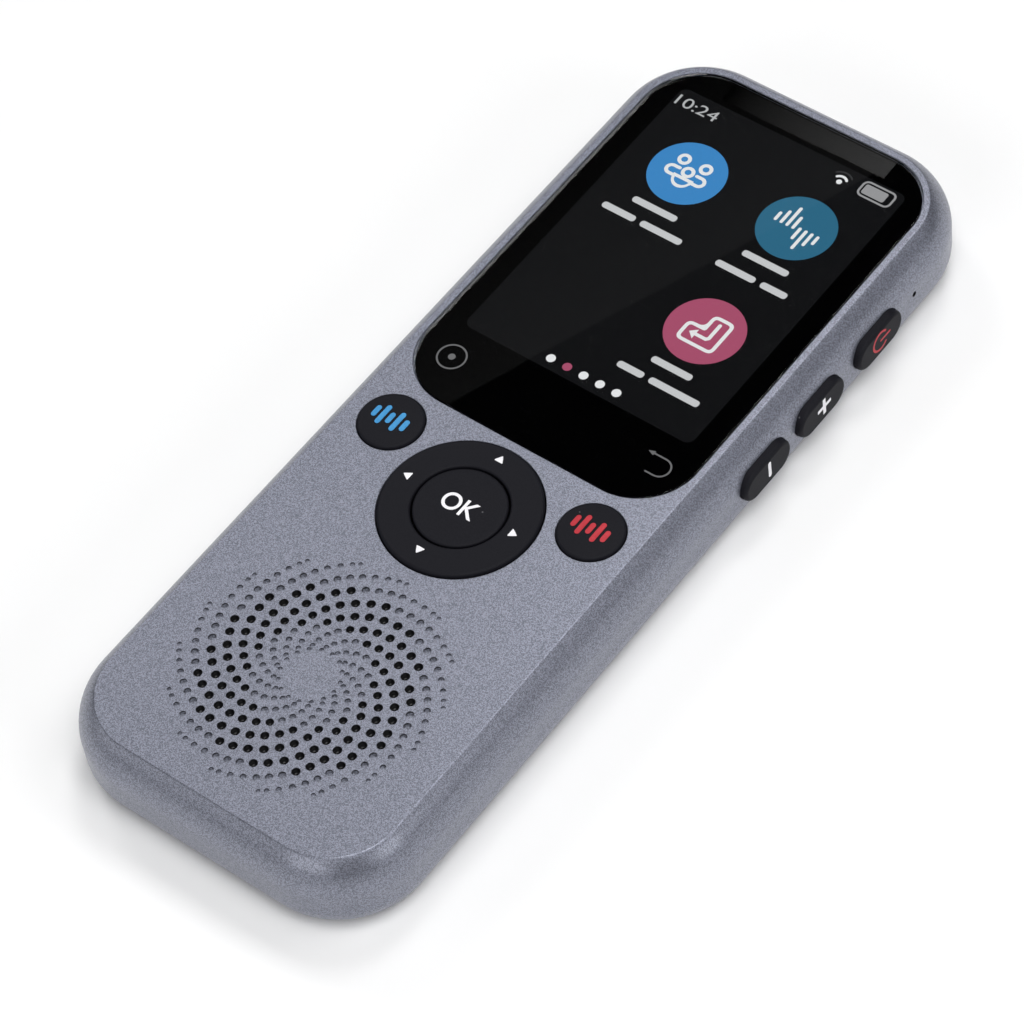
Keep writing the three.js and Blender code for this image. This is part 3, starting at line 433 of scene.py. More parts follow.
def relief(tree, shader, height, depth, strength=1.0):
    """Lets a height pattern of a real depth stand out of the surface."""
    bump = add_node(tree, "Bump", Strength=strength, Distance=depth)
    tree.links.new(height, bump.inputs["Height"])
    tree.links.new(bump.outputs["Normal"], shader.inputs["Normal"])


paint_dark = (0.140, 0.148, 0.183)
paint_light = (0.283, 0.296, 0.362)
flake_size = 0.1 * mm
paint_grain = 0.15 * mm
paint_depth = 0.008 * mm
wall_lean = 0.1


def housing_paint():
    """Metallic paint: flakes of lighter and darker grey under a satin coat."""
    material, tree, shader = bare_material("housing_paint")
    flakes = add_node(tree, "TexVoronoi", Scale=1 / flake_size)
    tree.links.new(object_place(tree), flakes.inputs["Vector"])
    shade = add_node(tree, "SeparateColor")
    tree.links.new(flakes.outputs["Color"], shade.inputs["Color"])
    colour = blend_colours(tree, shade.outputs["Red"], paint_dark, paint_light)
    tree.links.new(colour, shader.inputs["Base Color"])
    relief(tree, shader, grain(tree, paint_grain), paint_depth, strength=0.5)
    set_sockets(shader, {
        "Metallic": 0.75,
        "Roughness": 0.42,
        "Coat Weight": 0.25,
        "Coat Roughness": 0.2,
    })
    return material


def dressed(piece, name, material, body="root", replaced=()):
    """Names a finished piece and gives it its finish, its body and the nodes it stands for."""
    piece.name = name
    piece.data.name = name
    piece.data.materials.clear()
    piece.data.materials.append(material)
    piece.data.polygons.foreach_set("material_index", [0] * len(piece.data.polygons))
    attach(piece, body)
    if replaced:
        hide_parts(*replaced)
    return piece


def grained(name, dark, light, roughness, metallic=0.0, size=0.4 * mm, depth=0.01 * mm, gloss=0.5):
    """A finish with soft mottling and a fine relief."""
    material, tree, shader = bare_material(name)
    height = grain(tree, size)
    tree.links.new(blend_colours(tree, height, dark, light), shader.inputs["Base Color"])
    relief(tree, shader, height, depth)
    set_sockets(shader, {"Roughness": roughness, "Metallic": metallic, "Specular IOR Level": gloss})
    return material


def unpainted(piece, inside_hole):
    """Gives the walls of some holes a near-black finish: partly the bare moulding under the paint, partly
    painted shade on walls that the lamps would light.
    """
    moulding_and_shade = grained("moulding_black_and_painted_shade", (0.004, 0.004, 0.005), (0.008, 0.008, 0.009), roughness=0.3)
    piece.data.materials.append(moulding_and_shade)
    for face in piece.data.polygons:
        if inside_hole(face):
            face.material_index = 1


def in_microphone_hole(face):
    to_axis = (face.center - microphone_place).yz.length
    is_wall = abs(face.normal.x) < wall_lean
    return to_axis < microphone_hole_radius and is_wall and face.center.x > 0


paint = housing_paint()
rear_case = rear_housing()
evenly_shaded(rear_case)
dressed(rear_case, "rear_case", paint, replaced=["rear_housing"])
# The microphone hole's wall is near-black: partly bare moulding, partly painted shade.
unpainted(rear_case, in_microphone_hole)


# Battery
# A flat lithium pouch lies in the bay on a strip of double-sided foam. Its lead ends
# in a small white plug that fits a socket under the board.
def refinish(material, *nodes):
    """Gives CAD nodes a finish of their own."""
    for node in nodes:
        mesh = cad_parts[node].data
        mesh.materials.clear()
        mesh.materials.append(material)


foil = grained("battery_foil", (0.50, 0.51, 0.53), (0.60, 0.61, 0.63), roughness=0.35, metallic=0.7,
               size=1.2 * mm, depth=0.05 * mm)
foam = grained("foam", (0.012, 0.012, 0.014), (0.03, 0.03, 0.034), roughness=0.95,
               size=0.35 * mm, depth=0.05 * mm)
lead_red = grained("lead_insulation", (0.30, 0.01, 0.01), (0.36, 0.02, 0.015), roughness=0.5)
white_plastic = grained("white_plastic", (0.75, 0.72, 0.66), (0.82, 0.79, 0.73), roughness=0.45)
refinish(foil, "battery")
refinish(foam, "battery_pad")
refinish(lead_red, "battery_lead")
refinish(white_plastic, "battery_plug")


# Main board
# A green fibreglass board holds the chips, a pressed shield, the key switches and the
# side switches. Two screws and two moulded pins hold it to posts in the rear housing.
track_pitch = 4 * mm
track_depth = 0.03 * mm
brush_pitch = 0.1 * mm
brush_depth = 0.004 * mm


def board_laminate():
    """Green solder mask over copper tracks that show as paler lines."""
    material, tree, shader = bare_material("board_laminate")
    tracks = add_node(tree, "TexBrick", Scale=1 / track_pitch)
    set_sockets(tracks, {
        "Color1": (0.004, 0.075, 0.03, 1),
        "Color2": (0.005, 0.09, 0.035, 1),
        "Mortar": (0.02, 0.17, 0.07, 1),
        "Mortar Size": 0.04,
    })
    tree.links.new(object_place(tree), tracks.inputs["Vector"])
    tree.links.new(tracks.outputs["Color"], shader.inputs["Base Color"])
    relief(tree, shader, tracks.outputs["Fac"], track_depth)
    shader.inputs["Roughness"].default_value = 0.35
    return material


def brushed_steel():
    """Bright sheet metal with fine lines along the device."""
    material, tree, shader = bare_material("steel")
    stretch = add_node(tree, "Mapping")
    stretch.inputs["Scale"].default_value = (1, 0.05, 1)
    tree.links.new(object_place(tree), stretch.inputs["Vector"])
    lines = add_node(tree, "TexNoise", Scale=1 / brush_pitch, Detail=3)
    tree.links.new(stretch.outputs["Vector"], lines.inputs["Vector"])
    colour = blend_colours(tree, lines.outputs["Fac"], (0.42, 0.43, 0.44), (0.62, 0.62, 0.63))
    tree.links.new(colour, shader.inputs["Base Color"])
    relief(tree, shader, lines.outputs["Fac"], brush_depth)
    set_sockets(shader, {"Metallic": 0.95, "Roughness": 0.3})
    return material


board_green = board_laminate()
steel = brushed_steel()
black_plastic = grained("black_plastic", (0.010, 0.010, 0.011), (0.018, 0.018, 0.020), roughness=0.5)
switch_names = ("ok", "talk_left", "talk_right", "nav_up", "nav_down", "nav_left", "nav_right",
                "power", "volume_up", "volume_down")
refinish(board_green, "main_board")
refinish(steel, "shield_can", "board_screw_1", "board_screw_2")
refinish(steel, *(f"{name}_switch" for name in switch_names))
refinish(black_plastic, "processor_chip", "memory_chip")
refinish(black_plastic, *(f"{name}_plunger" for name in switch_names))


# Charging socket
# A stamped steel sleeve with a rounded mouth stands in the screen end. It holds a thin
# black tongue with a row of gilt contacts on each side.
socket_wall = 0.3 * mm
sleeve_ease = 0.06 * mm
tongue_width = 6.7 * mm
tongue_thickness = 0.7 * mm
tongue_recess = 0.6 * mm
tongue_base_depth = 1.6 * mm
contact_count = 12
contact_pitch = 0.5 * mm
contact_width = 0.26 * mm
contact_length = 3.2 * mm
contact_from_end = 0.35 * mm
contact_rise = 0.02 * mm

back, front = socket_low.y, socket_high.y
sleeve = loft([
    outline_ring(socket_outline(0), 0, back),
    outline_ring(socket_outline(0), 0, front - sleeve_ease),
    outline_ring(socket_outline(sleeve_ease), 0, front),
])
hollow = loft([
    outline_ring(socket_outline(socket_wall), 0, back + socket_wall),
    outline_ring(socket_outline(socket_wall), 0, front - sleeve_ease),
    outline_ring(socket_outline(socket_wall - sleeve_ease), 0, front),
    outline_ring(socket_outline(socket_wall - sleeve_ease), 0, front + overrun),
])
shaped(sleeve, [hollow], "DIFFERENCE")
on_y(sleeve, socket_z)
evenly_shaded(sleeve)
dressed(sleeve, "socket_sleeve", steel, replaced=["usb_shell"])

base_back = back + socket_wall + layer_gap
base_front = base_back + tongue_base_depth
tongue_front = front - tongue_recess
base = plate(socket_outline(socket_wall + layer_gap), base_back, base_front)
blade_outline = Outline(tongue_width, tongue_thickness, tongue_thickness / 2, 6)
blade = plate(blade_outline, base_front - fit_gap, tongue_front)
tongue = shaped(base, [blade], "UNION")
on_y(tongue, socket_z)
evenly_shaded(tongue)
dressed(tongue, "socket_tongue", black_plastic, replaced=["usb_tongue"])

gilt = grained("gilt_contacts", (0.72, 0.48, 0.16), (0.83, 0.58, 0.22), roughness=0.25, metallic=1.0,
               size=0.2 * mm, depth=0.002 * mm)
contact_end = tongue_front - contact_from_end
contacts = []
for side in (-1, 1):
    for number in range(contact_count):
        x = (number - (contact_count - 1) / 2) * contact_pitch
        surface = socket_z + side * tongue_thickness / 2
        low_z, high_z = sorted((surface - side * contact_rise, surface + side * contact_rise))
        contacts.append(block((x - contact_width / 2, contact_end - contact_length, low_z),
                              (x + contact_width / 2, contact_end, high_z)))
dressed(merged(contacts), "socket_contacts", gilt)


# Microphone and antenna
# A small steel capsule listens through a hole in the right wall. The antenna is a
# copper pattern on a patch of amber film, stuck inside the back.
amber_film = grained("amber_film", (0.35, 0.16, 0.03), (0.45, 0.22, 0.05), roughness=0.4, metallic=0.1,
                     size=1.5 * mm)
refinish(steel, "microphone")
refinish(amber_film, "wifi_antenna")


# Loudspeaker
# A round driver sits in a ring under the grille: a steel basket and magnet, a black
# paper cone, a foam gasket, and a fine black cloth across the holes.
weave_pitch = 0.9 * mm
weave_depth = 0.03 * mm


def woven_cloth():
    """Black acoustic cloth with a fine square weave."""
    material, tree, shader = bare_material("speaker_cloth")
    threads = add_node(tree, "TexBrick", Scale=1 / weave_pitch, offset=0.0)
    set_sockets(threads, {
        "Brick Width": 0.25,
        "Row Height": 0.25,
        "Mortar Size": 0.05,
        "Color1": (0.004, 0.004, 0.005, 1),
        "Color2": (0.007, 0.007, 0.008, 1),
        "Mortar": (0.02, 0.02, 0.022, 1),
    })
    tree.links.new(object_place(tree), threads.inputs["Vector"])
    tree.links.new(threads.outputs["Color"], shader.inputs["Base Color"])
    relief(tree, shader, threads.outputs["Fac"], weave_depth)
    shader.inputs["Roughness"].default_value = 0.8
    return material


cone_paper = grained("cone_paper", (0.008, 0.008, 0.009), (0.02, 0.02, 0.021), roughness=0.85,
                     size=0.5 * mm, depth=0.03 * mm)
speaker_cloth = woven_cloth()
refinish(steel, "speaker_frame", "speaker_magnet")
refinish(cone_paper, "speaker_cone")
refinish(foam, "speaker_gasket")
refinish(speaker_cloth, "speaker_mesh")


# Display
# A liquid crystal panel lies on a white backlight tray and is taped up under the glass.
# Its ribbon folds back to a connector on the board. The panel glows faintly when dark.
panel_low, panel_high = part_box("display_panel")
panel_glow = (0.0061, 0.0063, 0.0071)
lit_width = 36.3 * mm
lit_length = 48.9 * mm
lit_centre = Vector((-0.08, 34.98)) * mm
lit_corner = 1.2 * mm
cap_steps = 6
film_thickness = 0.004 * mm
film_step = 0.006 * mm
lit_bottom = panel_high.z + film_thickness
image_bottom = lit_bottom + film_step
icon_bottom = image_bottom + film_step
icon_top = icon_bottom + film_thickness
pixel_size = 0.15 * mm
pixel_odd_share = 0.96
pixel_edge_share = 0.9
letter_weld = 0.0001


def glowing(name, colour):
    """A lit patch of the display: a dark surface that gives off its own colour."""
    material, tree, shader = bare_material(name)
    pixels = add_node(tree, "TexBrick", Scale=0.5 / pixel_size, offset=0.0)
    set_sockets(pixels, {
        "Color1": (*colour, 1),
        "Color2": (*(pixel_odd_share * value for value in colour), 1),
        "Mortar": (*(pixel_edge_share * value for value in colour), 1),
        "Brick Width": 0.5,
        "Row Height": 0.5,
    })
    tree.links.new(object_place(tree), pixels.inputs["Vector"])
    tree.links.new(pixels.outputs["Color"], shader.inputs["Emission Color"])
    set_sockets(shader, {
        "Base Color": (0.002, 0.002, 0.002, 1),
        "Emission Strength": 1.0,
        "Roughness": 0.4,
        "Specular IOR Level": 0,
    })
    return material


panel_glass = grained("panel_glass", (0.003, 0.003, 0.0035), (0.004, 0.004, 0.0045),
                      roughness=0.25, gloss=0)
refinish(panel_glass, "display_panel")
refinish(white_plastic, "display_backlight")
refinish(amber_film, "display_flex")
refinish(black_plastic, "display_connector")
refinish(foam, "glass_adhesive")


def moved(outline, centre):
    """An outline drawn about the origin, at its own place."""
    return [Vector((x, y)) + Vector(centre) for x, y in outline]


def arc(radius, start, end, steps=16):
    """Points along an arc about the origin."""
    angles = [start + (end - start) * step / steps for step in range(steps + 1)]
    return [Vector((radius * math.cos(angle), radius * math.sin(angle))) for angle in angles]


def disc(radius, centre, steps=64):
    return moved(arc(radius, 0, 2 * math.pi * (1 - 1 / steps), steps - 1), centre)


def rounded(corners, ease, steps=5):
    """An outline whose corners are rounded by the length that each cuts from its sides."""
    points = []
    for number, corner in enumerate(corners):
        back = (corners[number - 1] - corner).normalized() * ease
        ahead = (corners[(number + 1) % len(corners)] - corner).normalized() * ease
        for step in range(steps + 1):
            share = step / steps
            points.append(corner + back * (1 - share) ** 2 + ahead * share ** 2)
    return points


def stroke(path, width):
    """The outline of a pen stroke with round ends, along a path of points."""
    points = [Vector(point) for point in path]
    runs = [(after - before).normalized() for before, after in zip(points, points[1:])]
    left, right = [], []
    for number, point in enumerate(points):
        before, after = runs[max(number - 1, 0)], runs[min(number, len(runs) - 1)]
        along = (before + after).normalized()
        across = Vector((-along.y, along.x)) * width / 2 / along.dot(after)
        left.append(point + across)
        right.append(point - across)
    outline = []
    for side, point, run in ((right, points[-1], runs[-1]), (left[::-1], points[0], -runs[0])):
        outline += side
        start = math.atan2(run.y, run.x) - math.pi / 2
        for step in range(1, cap_steps):
            angle = start + math.pi * step / cap_steps
            outline.append(point + Vector((math.cos(angle), math.sin(angle))) * width / 2)
    return outline


def mark(outline, bottom, top, lift=None):
    """A thin flat body of some outline; lift raises each point where the surface is crowned."""
    rings = []
    for level in (bottom, top):
        rings.append([(x, y, level + (lift(x, y) if lift else 0)) for x, y in outline])
    return loft(rings)


def band(outer, inner, bottom, top):
    """A flat closed band between two outlines with as many points each."""
    form = bmesh.new()
    loops = []
    for outline, height in ((outer, bottom), (outer, top), (inner, top), (inner, bottom)):
        loops.append([form.verts.new((x, y, height)) for x, y in outline])
    for low, high in zip(loops, loops[1:] + loops[:1]):
        for i in range(len(low)):
            j = (i + 1) % len(low)
            form.faces.new((low[i], low[j], high[j], high[i]))
    return solid_of(form)


def circle_line(radius, width, centre, bottom, top, steps=64):
    """A flat ring as wide as a pen stroke."""
    outer, inner = (disc(radius + side * width / 2, centre, steps) for side in (1, -1))
    return band(outer, inner, bottom, top)


def lettering(text, width, height, centre, bottom, top, weight=0):
    """Plain letters that fill a given width and height."""
    writing = bpy.data.curves.new("letters", "FONT")
    writing.body = text
    writing.extrude = 1
    writing.offset = weight
    holder = bpy.data.objects.new("letters", writing)
    bpy.context.scene.collection.objects.link(holder)
    graph = bpy.context.evaluated_depsgraph_get()
    mesh = bpy.data.meshes.new_from_object(holder.evaluated_get(graph))
    bpy.data.objects.remove(holder)
    form = bmesh.new()
    form.from_mesh(mesh)
    bmesh.ops.remove_doubles(form, verts=form.verts, dist=letter_weld)
    target = ((centre[0], width), (centre[1], height), ((bottom + top) / 2, top - bottom))
    for axis, (place, size) in enumerate(target):
        values = [vert.co[axis] for vert in form.verts]
        low, high = min(values), max(values)
        for vert in form.verts:
            vert.co[axis] = place + size * ((vert.co[axis] - low) / (high - low) - 0.5)
    return solid_of(form)


def flat_ring(outline, inset, centre):
    """A rounded rectangle as a flat outline, drawn in by an inset."""
    return [Vector((x, y)) + Vector(centre) for x, y, _ in outline_ring(outline, inset, 0)]


def shown(shapes, name, bottom, material):
    """Flat films of a colour, each of its own outline, at one level of the display."""
    films = [mark(outline, bottom, bottom + film_thickness) for outline in shapes]
    return dressed(merged(films), name, material)


lit_outline = Outline(lit_width, lit_length, lit_corner, 8)
shown([flat_ring(lit_outline, 0, lit_centre)], "lit_area", lit_bottom, glowing("lit_area", panel_glow))

# Three round buttons, each with a line drawing, and grey bars where their labels stand.
column = 8.82 * mm
upper_row = 47.17 * mm
lower_row = 26.62 * mm
button_radius = 5.45 * mm
pen = 0.52 * mm
blue_button = (-column, upper_row)
teal_button = (column, upper_row)
rose_button = (column, lower_row)
screen_white = glowing("screen_white", (0.86, 0.87, 0.88))
screen_blue = glowing("screen_blue", (0.052, 0.26, 0.60))
screen_teal = glowing("screen_teal", (0.030, 0.150, 0.255))
screen_rose = glowing("screen_rose", (0.420, 0.088, 0.165))
shown([disc(button_radius, blue_button)], "blue_button", image_bottom, screen_blue)
shown([disc(button_radius, teal_button)], "teal_button", image_bottom, screen_teal)
shown([disc(button_radius, rose_button)], "rose_button", image_bottom, screen_rose)

head_radius = 0.72 * mm
head_places = [Vector(place) * mm for place in ((-1.75, 1.85), (1.75, 1.85), (0, 0.2))]
shoulder_radius = 0.72 * mm
shoulder_centre = Vector((-2.25, -0.45)) * mm
shoulder_run = 0.85 * mm
bowl_width = 1.35 * mm
bowl_depth = 1.45 * mm
bowl_top = -1.0 * mm
bowl_steps = 16


def bowl(inset):
    """A half round shape that hangs from a straight top."""
    points = []
    for step in range(bowl_steps + 1):
        angle = math.pi * step / bowl_steps
        x = (bowl_width - inset) * math.cos(angle)
        y = bowl_top - inset - (bowl_depth - 2 * inset) * math.sin(angle)
        points.append((x, y))
    return moved(points, blue_button)


people = []
for place in head_places:
    people.append(circle_line(head_radius, pen, Vector(blue_button) + place, icon_bottom, icon_top, 32))
run = Vector((shoulder_run, 0))
bend = moved(arc(shoulder_radius, math.pi / 2, 3 * math.pi / 2), shoulder_centre)
for side in (1, -1):
    path = [bend[0] + run] + bend + [bend[-1] + run]
    outline = stroke(moved([(side * x, y) for x, y in path], blue_button), pen)
    people.append(mark(outline, icon_bottom, icon_top))
people.append(band(bowl(-pen / 2), bowl(pen / 2), icon_bottom, icon_top))
dressed(merged(people), "group_icon", screen_white)

bar_pitch = 0.935 * mm
bar_width = 0.9 * pen
bar_overlap = 0.15 * mm
bars_up = [length * mm for length in (1.2, 2.0, 3.2, 1.9)]
bars_down = [length * mm for length in (1.8, 3.2, 2.0, 1.2)]
waves = []
for number, length in enumerate(bars_up + bars_down):
    x = (number - (len(bars_up + bars_down) - 1) / 2) * bar_pitch
    side = 1 if number < len(bars_up) else -1
    start = -side * bar_overlap
    waves.append(moved(stroke([(x, start), (x, start + side * length)], bar_width), teal_button))
shown(waves, "wave_icon", icon_bottom, screen_white)

key_left, key_middle, key_right = (value * mm for value in (-2.62, -0.2, 2.68))
key_low, key_step, key_high = (value * mm for value in (-2.6, 0.25, 2.65))
key_ease = 0.75 * mm
return_path = [Vector(point) * mm for point in ((1.15, 1.75), (1.15, -0.75), (0.85, -1.05), (-0.85, -1.05))]
return_tip = Vector((-1.75, -1.05)) * mm
return_head = 1 * mm
return_spread = 1.7 * mm
drawn_tip_ease = 0.1 * mm
leftwards = Vector((-1, 0))


def enter_key(offset):
    """The stepped outline of a return key, grown outwards by an offset."""
    corners = [
        (key_left - offset, key_low - offset),
        (key_right + offset, key_low - offset),
        (key_right + offset, key_high + offset),
        (key_middle - offset, key_high + offset),
        (key_middle - offset, key_step + offset),
        (key_left - offset, key_step + offset),
    ]
    return moved(rounded([Vector(corner) for corner in corners], key_ease + offset), rose_button)


def arrow_outline(tip, direction, base, height, ease):
    """A triangle with rounded corners whose tip points along a direction."""
    across = Vector((-direction.y, direction.x)) * base / 2
    foot = tip - direction * height
    return rounded([tip, foot + across, foot - across], ease)


shaft = mark(moved(stroke(return_path, pen), rose_button), icon_bottom, icon_top)
head_outline = arrow_outline(return_tip, leftwards, return_spread, return_head, drawn_tip_ease)
head = mark(moved(head_outline, rose_button), icon_bottom, icon_top)
shaped(shaft, [head], "UNION")
outline_band = band(enter_key(pen / 2), enter_key(-pen / 2), icon_bottom, icon_top)
dressed(merged([shaft, outline_band]), "return_icon", screen_white)

word_height = 1.05 * mm
word_ease = 0.45 * mm
# Each row holds a label's column, its height in mm, and where its words start and end.
label_words = (
    (-column, 39.85, ((-3.55, 3.55),)),
    (-column, 36.95, ((-6.4, -1.1), (-0.2, 6.4))),
    (column, 40.1, ((-3.6, 3.6),)),
    (column, 36.9, ((-5.6, 0.6), (1.5, 5.6))),
    (column, 19.35, ((-3.15, 3.15),)),
    (column, 16.35, ((-6.4, -2.3), (-1.4, 6.4))),
)
words = []
for centre_x, centre_y, spans in label_words:
    for start, end in spans:
        width = (end - start) * mm
        bar = Outline(width, word_height, word_ease, 6)
        words.append(flat_ring(bar, 0, (centre_x + (start + end) / 2 * mm, centre_y * mm)))
shown(words, "label_bars", image_bottom, glowing("screen_label", (0.62, 0.63, 0.64)))

# The row of page dots, the clock, the signal strength and the charge.
dot_radius = 0.65 * mm
dot_pitch = 2.62 * mm
dot_y = 12.24 * mm
dot_count = 5
page_now = 1
dots = [disc(dot_radius, ((number - dot_count // 2) * dot_pitch, dot_y), 24) for number in range(dot_count)]
rose_dot = dots.pop(page_now)
shown(dots, "page_dots", image_bottom, screen_white)
shown([rose_dot], "page_dot_now", image_bottom, screen_rose)

clock_width = 6.6 * mm
clock_height = 1.8 * mm
clock_place = Vector((-14.45, 57.3)) * mm
signal_place = Vector((8.95, 56.75)) * mm
signal_dot = 0.4 * mm
charge_place = Vector((14.35, 57.6)) * mm
charge_case = Outline(5.2 * mm, 2.85 * mm, 0.9 * mm, 6)
charge_line = 0.3 * mm
charge_fill = Outline(3.5 * mm, 1.7 * mm, 0.3 * mm, 4)
charge_fill_place = Vector((14.05, 57.6)) * mm


def signal_wave(radius, half_angle, width):
    """One wave over the dot of the signal strength."""
    bend = arc(radius, math.radians(90 - half_angle), math.radians(90 + half_angle))
    return moved(stroke(bend, width), signal_place)


clock = lettering("10:24", clock_width, clock_height, clock_place, image_bottom, icon_bottom)
dressed(clock, "clock", glowing("screen_grey", (0.50, 0.51, 0.52)))
signal = [disc(signal_dot, signal_place, 20), signal_wave(1 * mm, 50, 0.38 * mm)]
shown(signal, "signal_sign", image_bottom, screen_white)
weak_signal = signal_wave(1.75 * mm, 45, 0.25 * mm)
shown([weak_signal], "signal_rest", image_bottom, glowing("screen_dim", (0.04, 0.04, 0.042)))
charge_sign = [
    band(flat_ring(charge_case, 0, charge_place), flat_ring(charge_case, charge_line, charge_place),
         image_bottom, icon_bottom),
    mark(flat_ring(charge_fill, 0, charge_fill_place), image_bottom, icon_bottom),
]
charge_glow = glowing("screen_charge", (0.34, 0.34, 0.35))
dressed(merged(charge_sign), "charge_sign", charge_glow)


# Navigation key
# A four-way rubber ring lies on a thin plastic rocker. Its nubs press one switch on each
# side, and a printed triangle on each side shows which way it is pushed.
nav_low, nav_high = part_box("nav_ring")
nav_place = middle("nav_ring").xy
nav_radius = 10.65 * mm
nav_gap = 0.15 * mm
nav_bore = 6.38 * mm
nav_skirt = 1 * mm
nav_plate = 1.2 * mm
nav_flange = 11.6 * mm
nav_bottom = 10.15 * mm
nav_flange_top = 10.85 * mm
nav_edge_ease = 0.4 * mm
nav_bore_ease = 0.3 * mm
nav_sides = 128
edge_steps = 6
nub_radius = 0.9 * mm
nub_reach = 8.5 * mm
rubber_dark = (0.0066, 0.0066, 0.0096)
rubber_light = (0.0106, 0.0107, 0.0144)
rubber_grain = 0.12 * mm
rubber_depth = 0.006 * mm
speck_colour = (0.10, 0.10, 0.11, 1)
speck_spacing = 3.5 * mm
speck_share = 0.035
ink_rise = 0.012 * mm
ink_sink = 0.03 * mm
arrow_reach = 8.5 * mm
arrow_base = 1.35 * mm
arrow_height = 1.1 * mm
arrow_ease = 0.2 * mm
arrow_shift = Vector((-0.28, 0.3)) * mm


def key_rubber():
    """Near-black rubber with a fine matt skin and a few paler specks of dust."""
    material, tree, shader = bare_material("key_rubber")
    height = grain(tree, rubber_grain)
    skin = blend_colours(tree, height, rubber_dark, rubber_light)
    specks = add_node(tree, "TexVoronoi", Scale=1 / speck_spacing)
    tree.links.new(object_place(tree), specks.inputs["Vector"])
    speck = add_node(tree, "Math", operation="LESS_THAN")
    speck.inputs[1].default_value = speck_share
    tree.links.new(specks.outputs["Distance"], speck.inputs[0])
    colour = add_node(tree, "MixRGB")
    colour.inputs["Color2"].default_value = speck_colour
    tree.links.new(speck.outputs["Value"], colour.inputs["Fac"])
    tree.links.new(skin, colour.inputs["Color1"])
    tree.links.new(colour.outputs["Color"], shader.inputs["Base Color"])
    relief(tree, shader, height, rubber_depth)
    set_sockets(shader, {"Roughness": 0.55, "Specular IOR Level": 0.1})
    return material


def rounded_edge(radius, top, ease, side=1):
    """Profile points over a rounded top edge, from the wall to the flat; side is -1 in a bore."""
    points = []
    for step in range(edge_steps + 1):
        angle = math.pi / 2 * step / edge_steps
        points.append((radius - side * ease * (1 - math.cos(angle)), top - ease * (1 - math.sin(angle))))
    return points


def nav_key():
    """A ring with a flange under the face and a nub over each of its four switches."""
    under = nav_high.z - nav_plate
    ring = turned([
        (nav_bore, nav_bottom),
        (nav_bore + nav_skirt, nav_bottom),
        (nav_bore + nav_skirt, under),
        (nav_radius - nav_skirt, under),
        (nav_radius - nav_skirt, nav_bottom),
        (nav_flange, nav_bottom),
        (nav_flange, nav_flange_top),
        (nav_radius, nav_flange_top),
        *rounded_edge(nav_radius, nav_high.z, nav_edge_ease),
        *reversed(rounded_edge(nav_bore, nav_high.z, nav_bore_ease, -1)),
    ], nav_sides, nav_place)
    nubs = []
    for side in (-1, 1):
        across, along = Vector((side * nub_reach, 0)), Vector((0, side * nub_reach))
        nubs.append(rod(nub_radius, nav_low.z, under + fit_gap, nav_place + across))
        nubs.append(rod(nub_radius, nav_bottom, under + fit_gap, nav_place + along))
    return shaped(ring, nubs, "UNION")


rubber = key_rubber()
white_ink = grained("white_ink", (0.82, 0.81, 0.85), (0.90, 0.89, 0.92), roughness=0.5)
refinish(black_plastic, "nav_rocker")
nav_piece = nav_key()
evenly_shaded(nav_piece)
dressed(nav_piece, "nav_key_ring", rubber, "nav_key", ["nav_ring"])

arrows = []
for side in range(4):
    direction = Vector((math.cos(side * math.pi / 2), math.sin(side * math.pi / 2)))
    tip = nav_place + arrow_shift + direction * (arrow_reach + arrow_height / 2)
    outline = arrow_outline(tip, direction, arrow_base, arrow_height, arrow_ease)
    arrows.append(mark(outline, nav_high.z - ink_sink, nav_high.z + ink_rise))
dressed(merged(arrows), "nav_arrows", white_ink, "nav_key")


# OK key
# A round rubber key fills the middle of the navigation key. Its stem stands over one
# switch, its flange keeps it under the rocker, and its word is printed in white.
RoundKey = namedtuple("RoundKey", "radius stem flange flange_bottom flange_top plate skirt ease crown")

ok_key = RoundKey(radius=6.12 * mm, stem=2 * mm, flange=6.75 * mm, flange_bottom=9.25 * mm,
                  flange_top=9.75 * mm, plate=1.1 * mm, skirt=0.9 * mm, ease=0.3 * mm, crown=0)
ok_low, ok_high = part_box("ok_button")
ok_place = middle("ok_button").xy
ok_width = 5.2 * mm
ok_height = 2.7 * mm
ok_weight = 0.012
ok_shift = Vector((-0.18, 0.17)) * mm
crown_steps = 8


def crown_rise(key, reach):
    """How far a key's crowned top stands above its rim at some reach from the middle."""
    return key.crown * (1 - min(reach / (key.radius - key.ease), 1) ** 2)


def round_key(key, stem_bottom, rim, place, sides):
    """A cap with a skirt, a flange under the face and a stem over its switch."""
    under = rim - key.plate
    profile = [
        (0, stem_bottom),
        (key.stem, stem_bottom),
        (key.stem, under),
        (key.radius - key.skirt, under),
        (key.radius - key.skirt, key.flange_bottom),
        (key.flange, key.flange_bottom),
        (key.flange, key.flange_top),
        (key.radius, key.flange_top),
        *rounded_edge(key.radius, rim, key.ease),
    ]
    for step in range(1, crown_steps + 1):
        reach = (key.radius - key.ease) * (1 - step / crown_steps)
        profile.append((reach, rim + crown_rise(key, reach)))
    return turned(profile, sides, place)


ok_piece = round_key(ok_key, ok_low.z, ok_high.z, ok_place, nav_sides)
evenly_shaded(ok_piece)
dressed(ok_piece, "ok_key_cap", rubber, "ok_key", ["ok_button"])
ok_word = lettering("OK", ok_width, ok_height, ok_place + ok_shift,
                    ok_high.z - ink_sink, ok_high.z + ink_rise, ok_weight)
dressed(ok_word, "ok_word", white_ink, "ok_key")


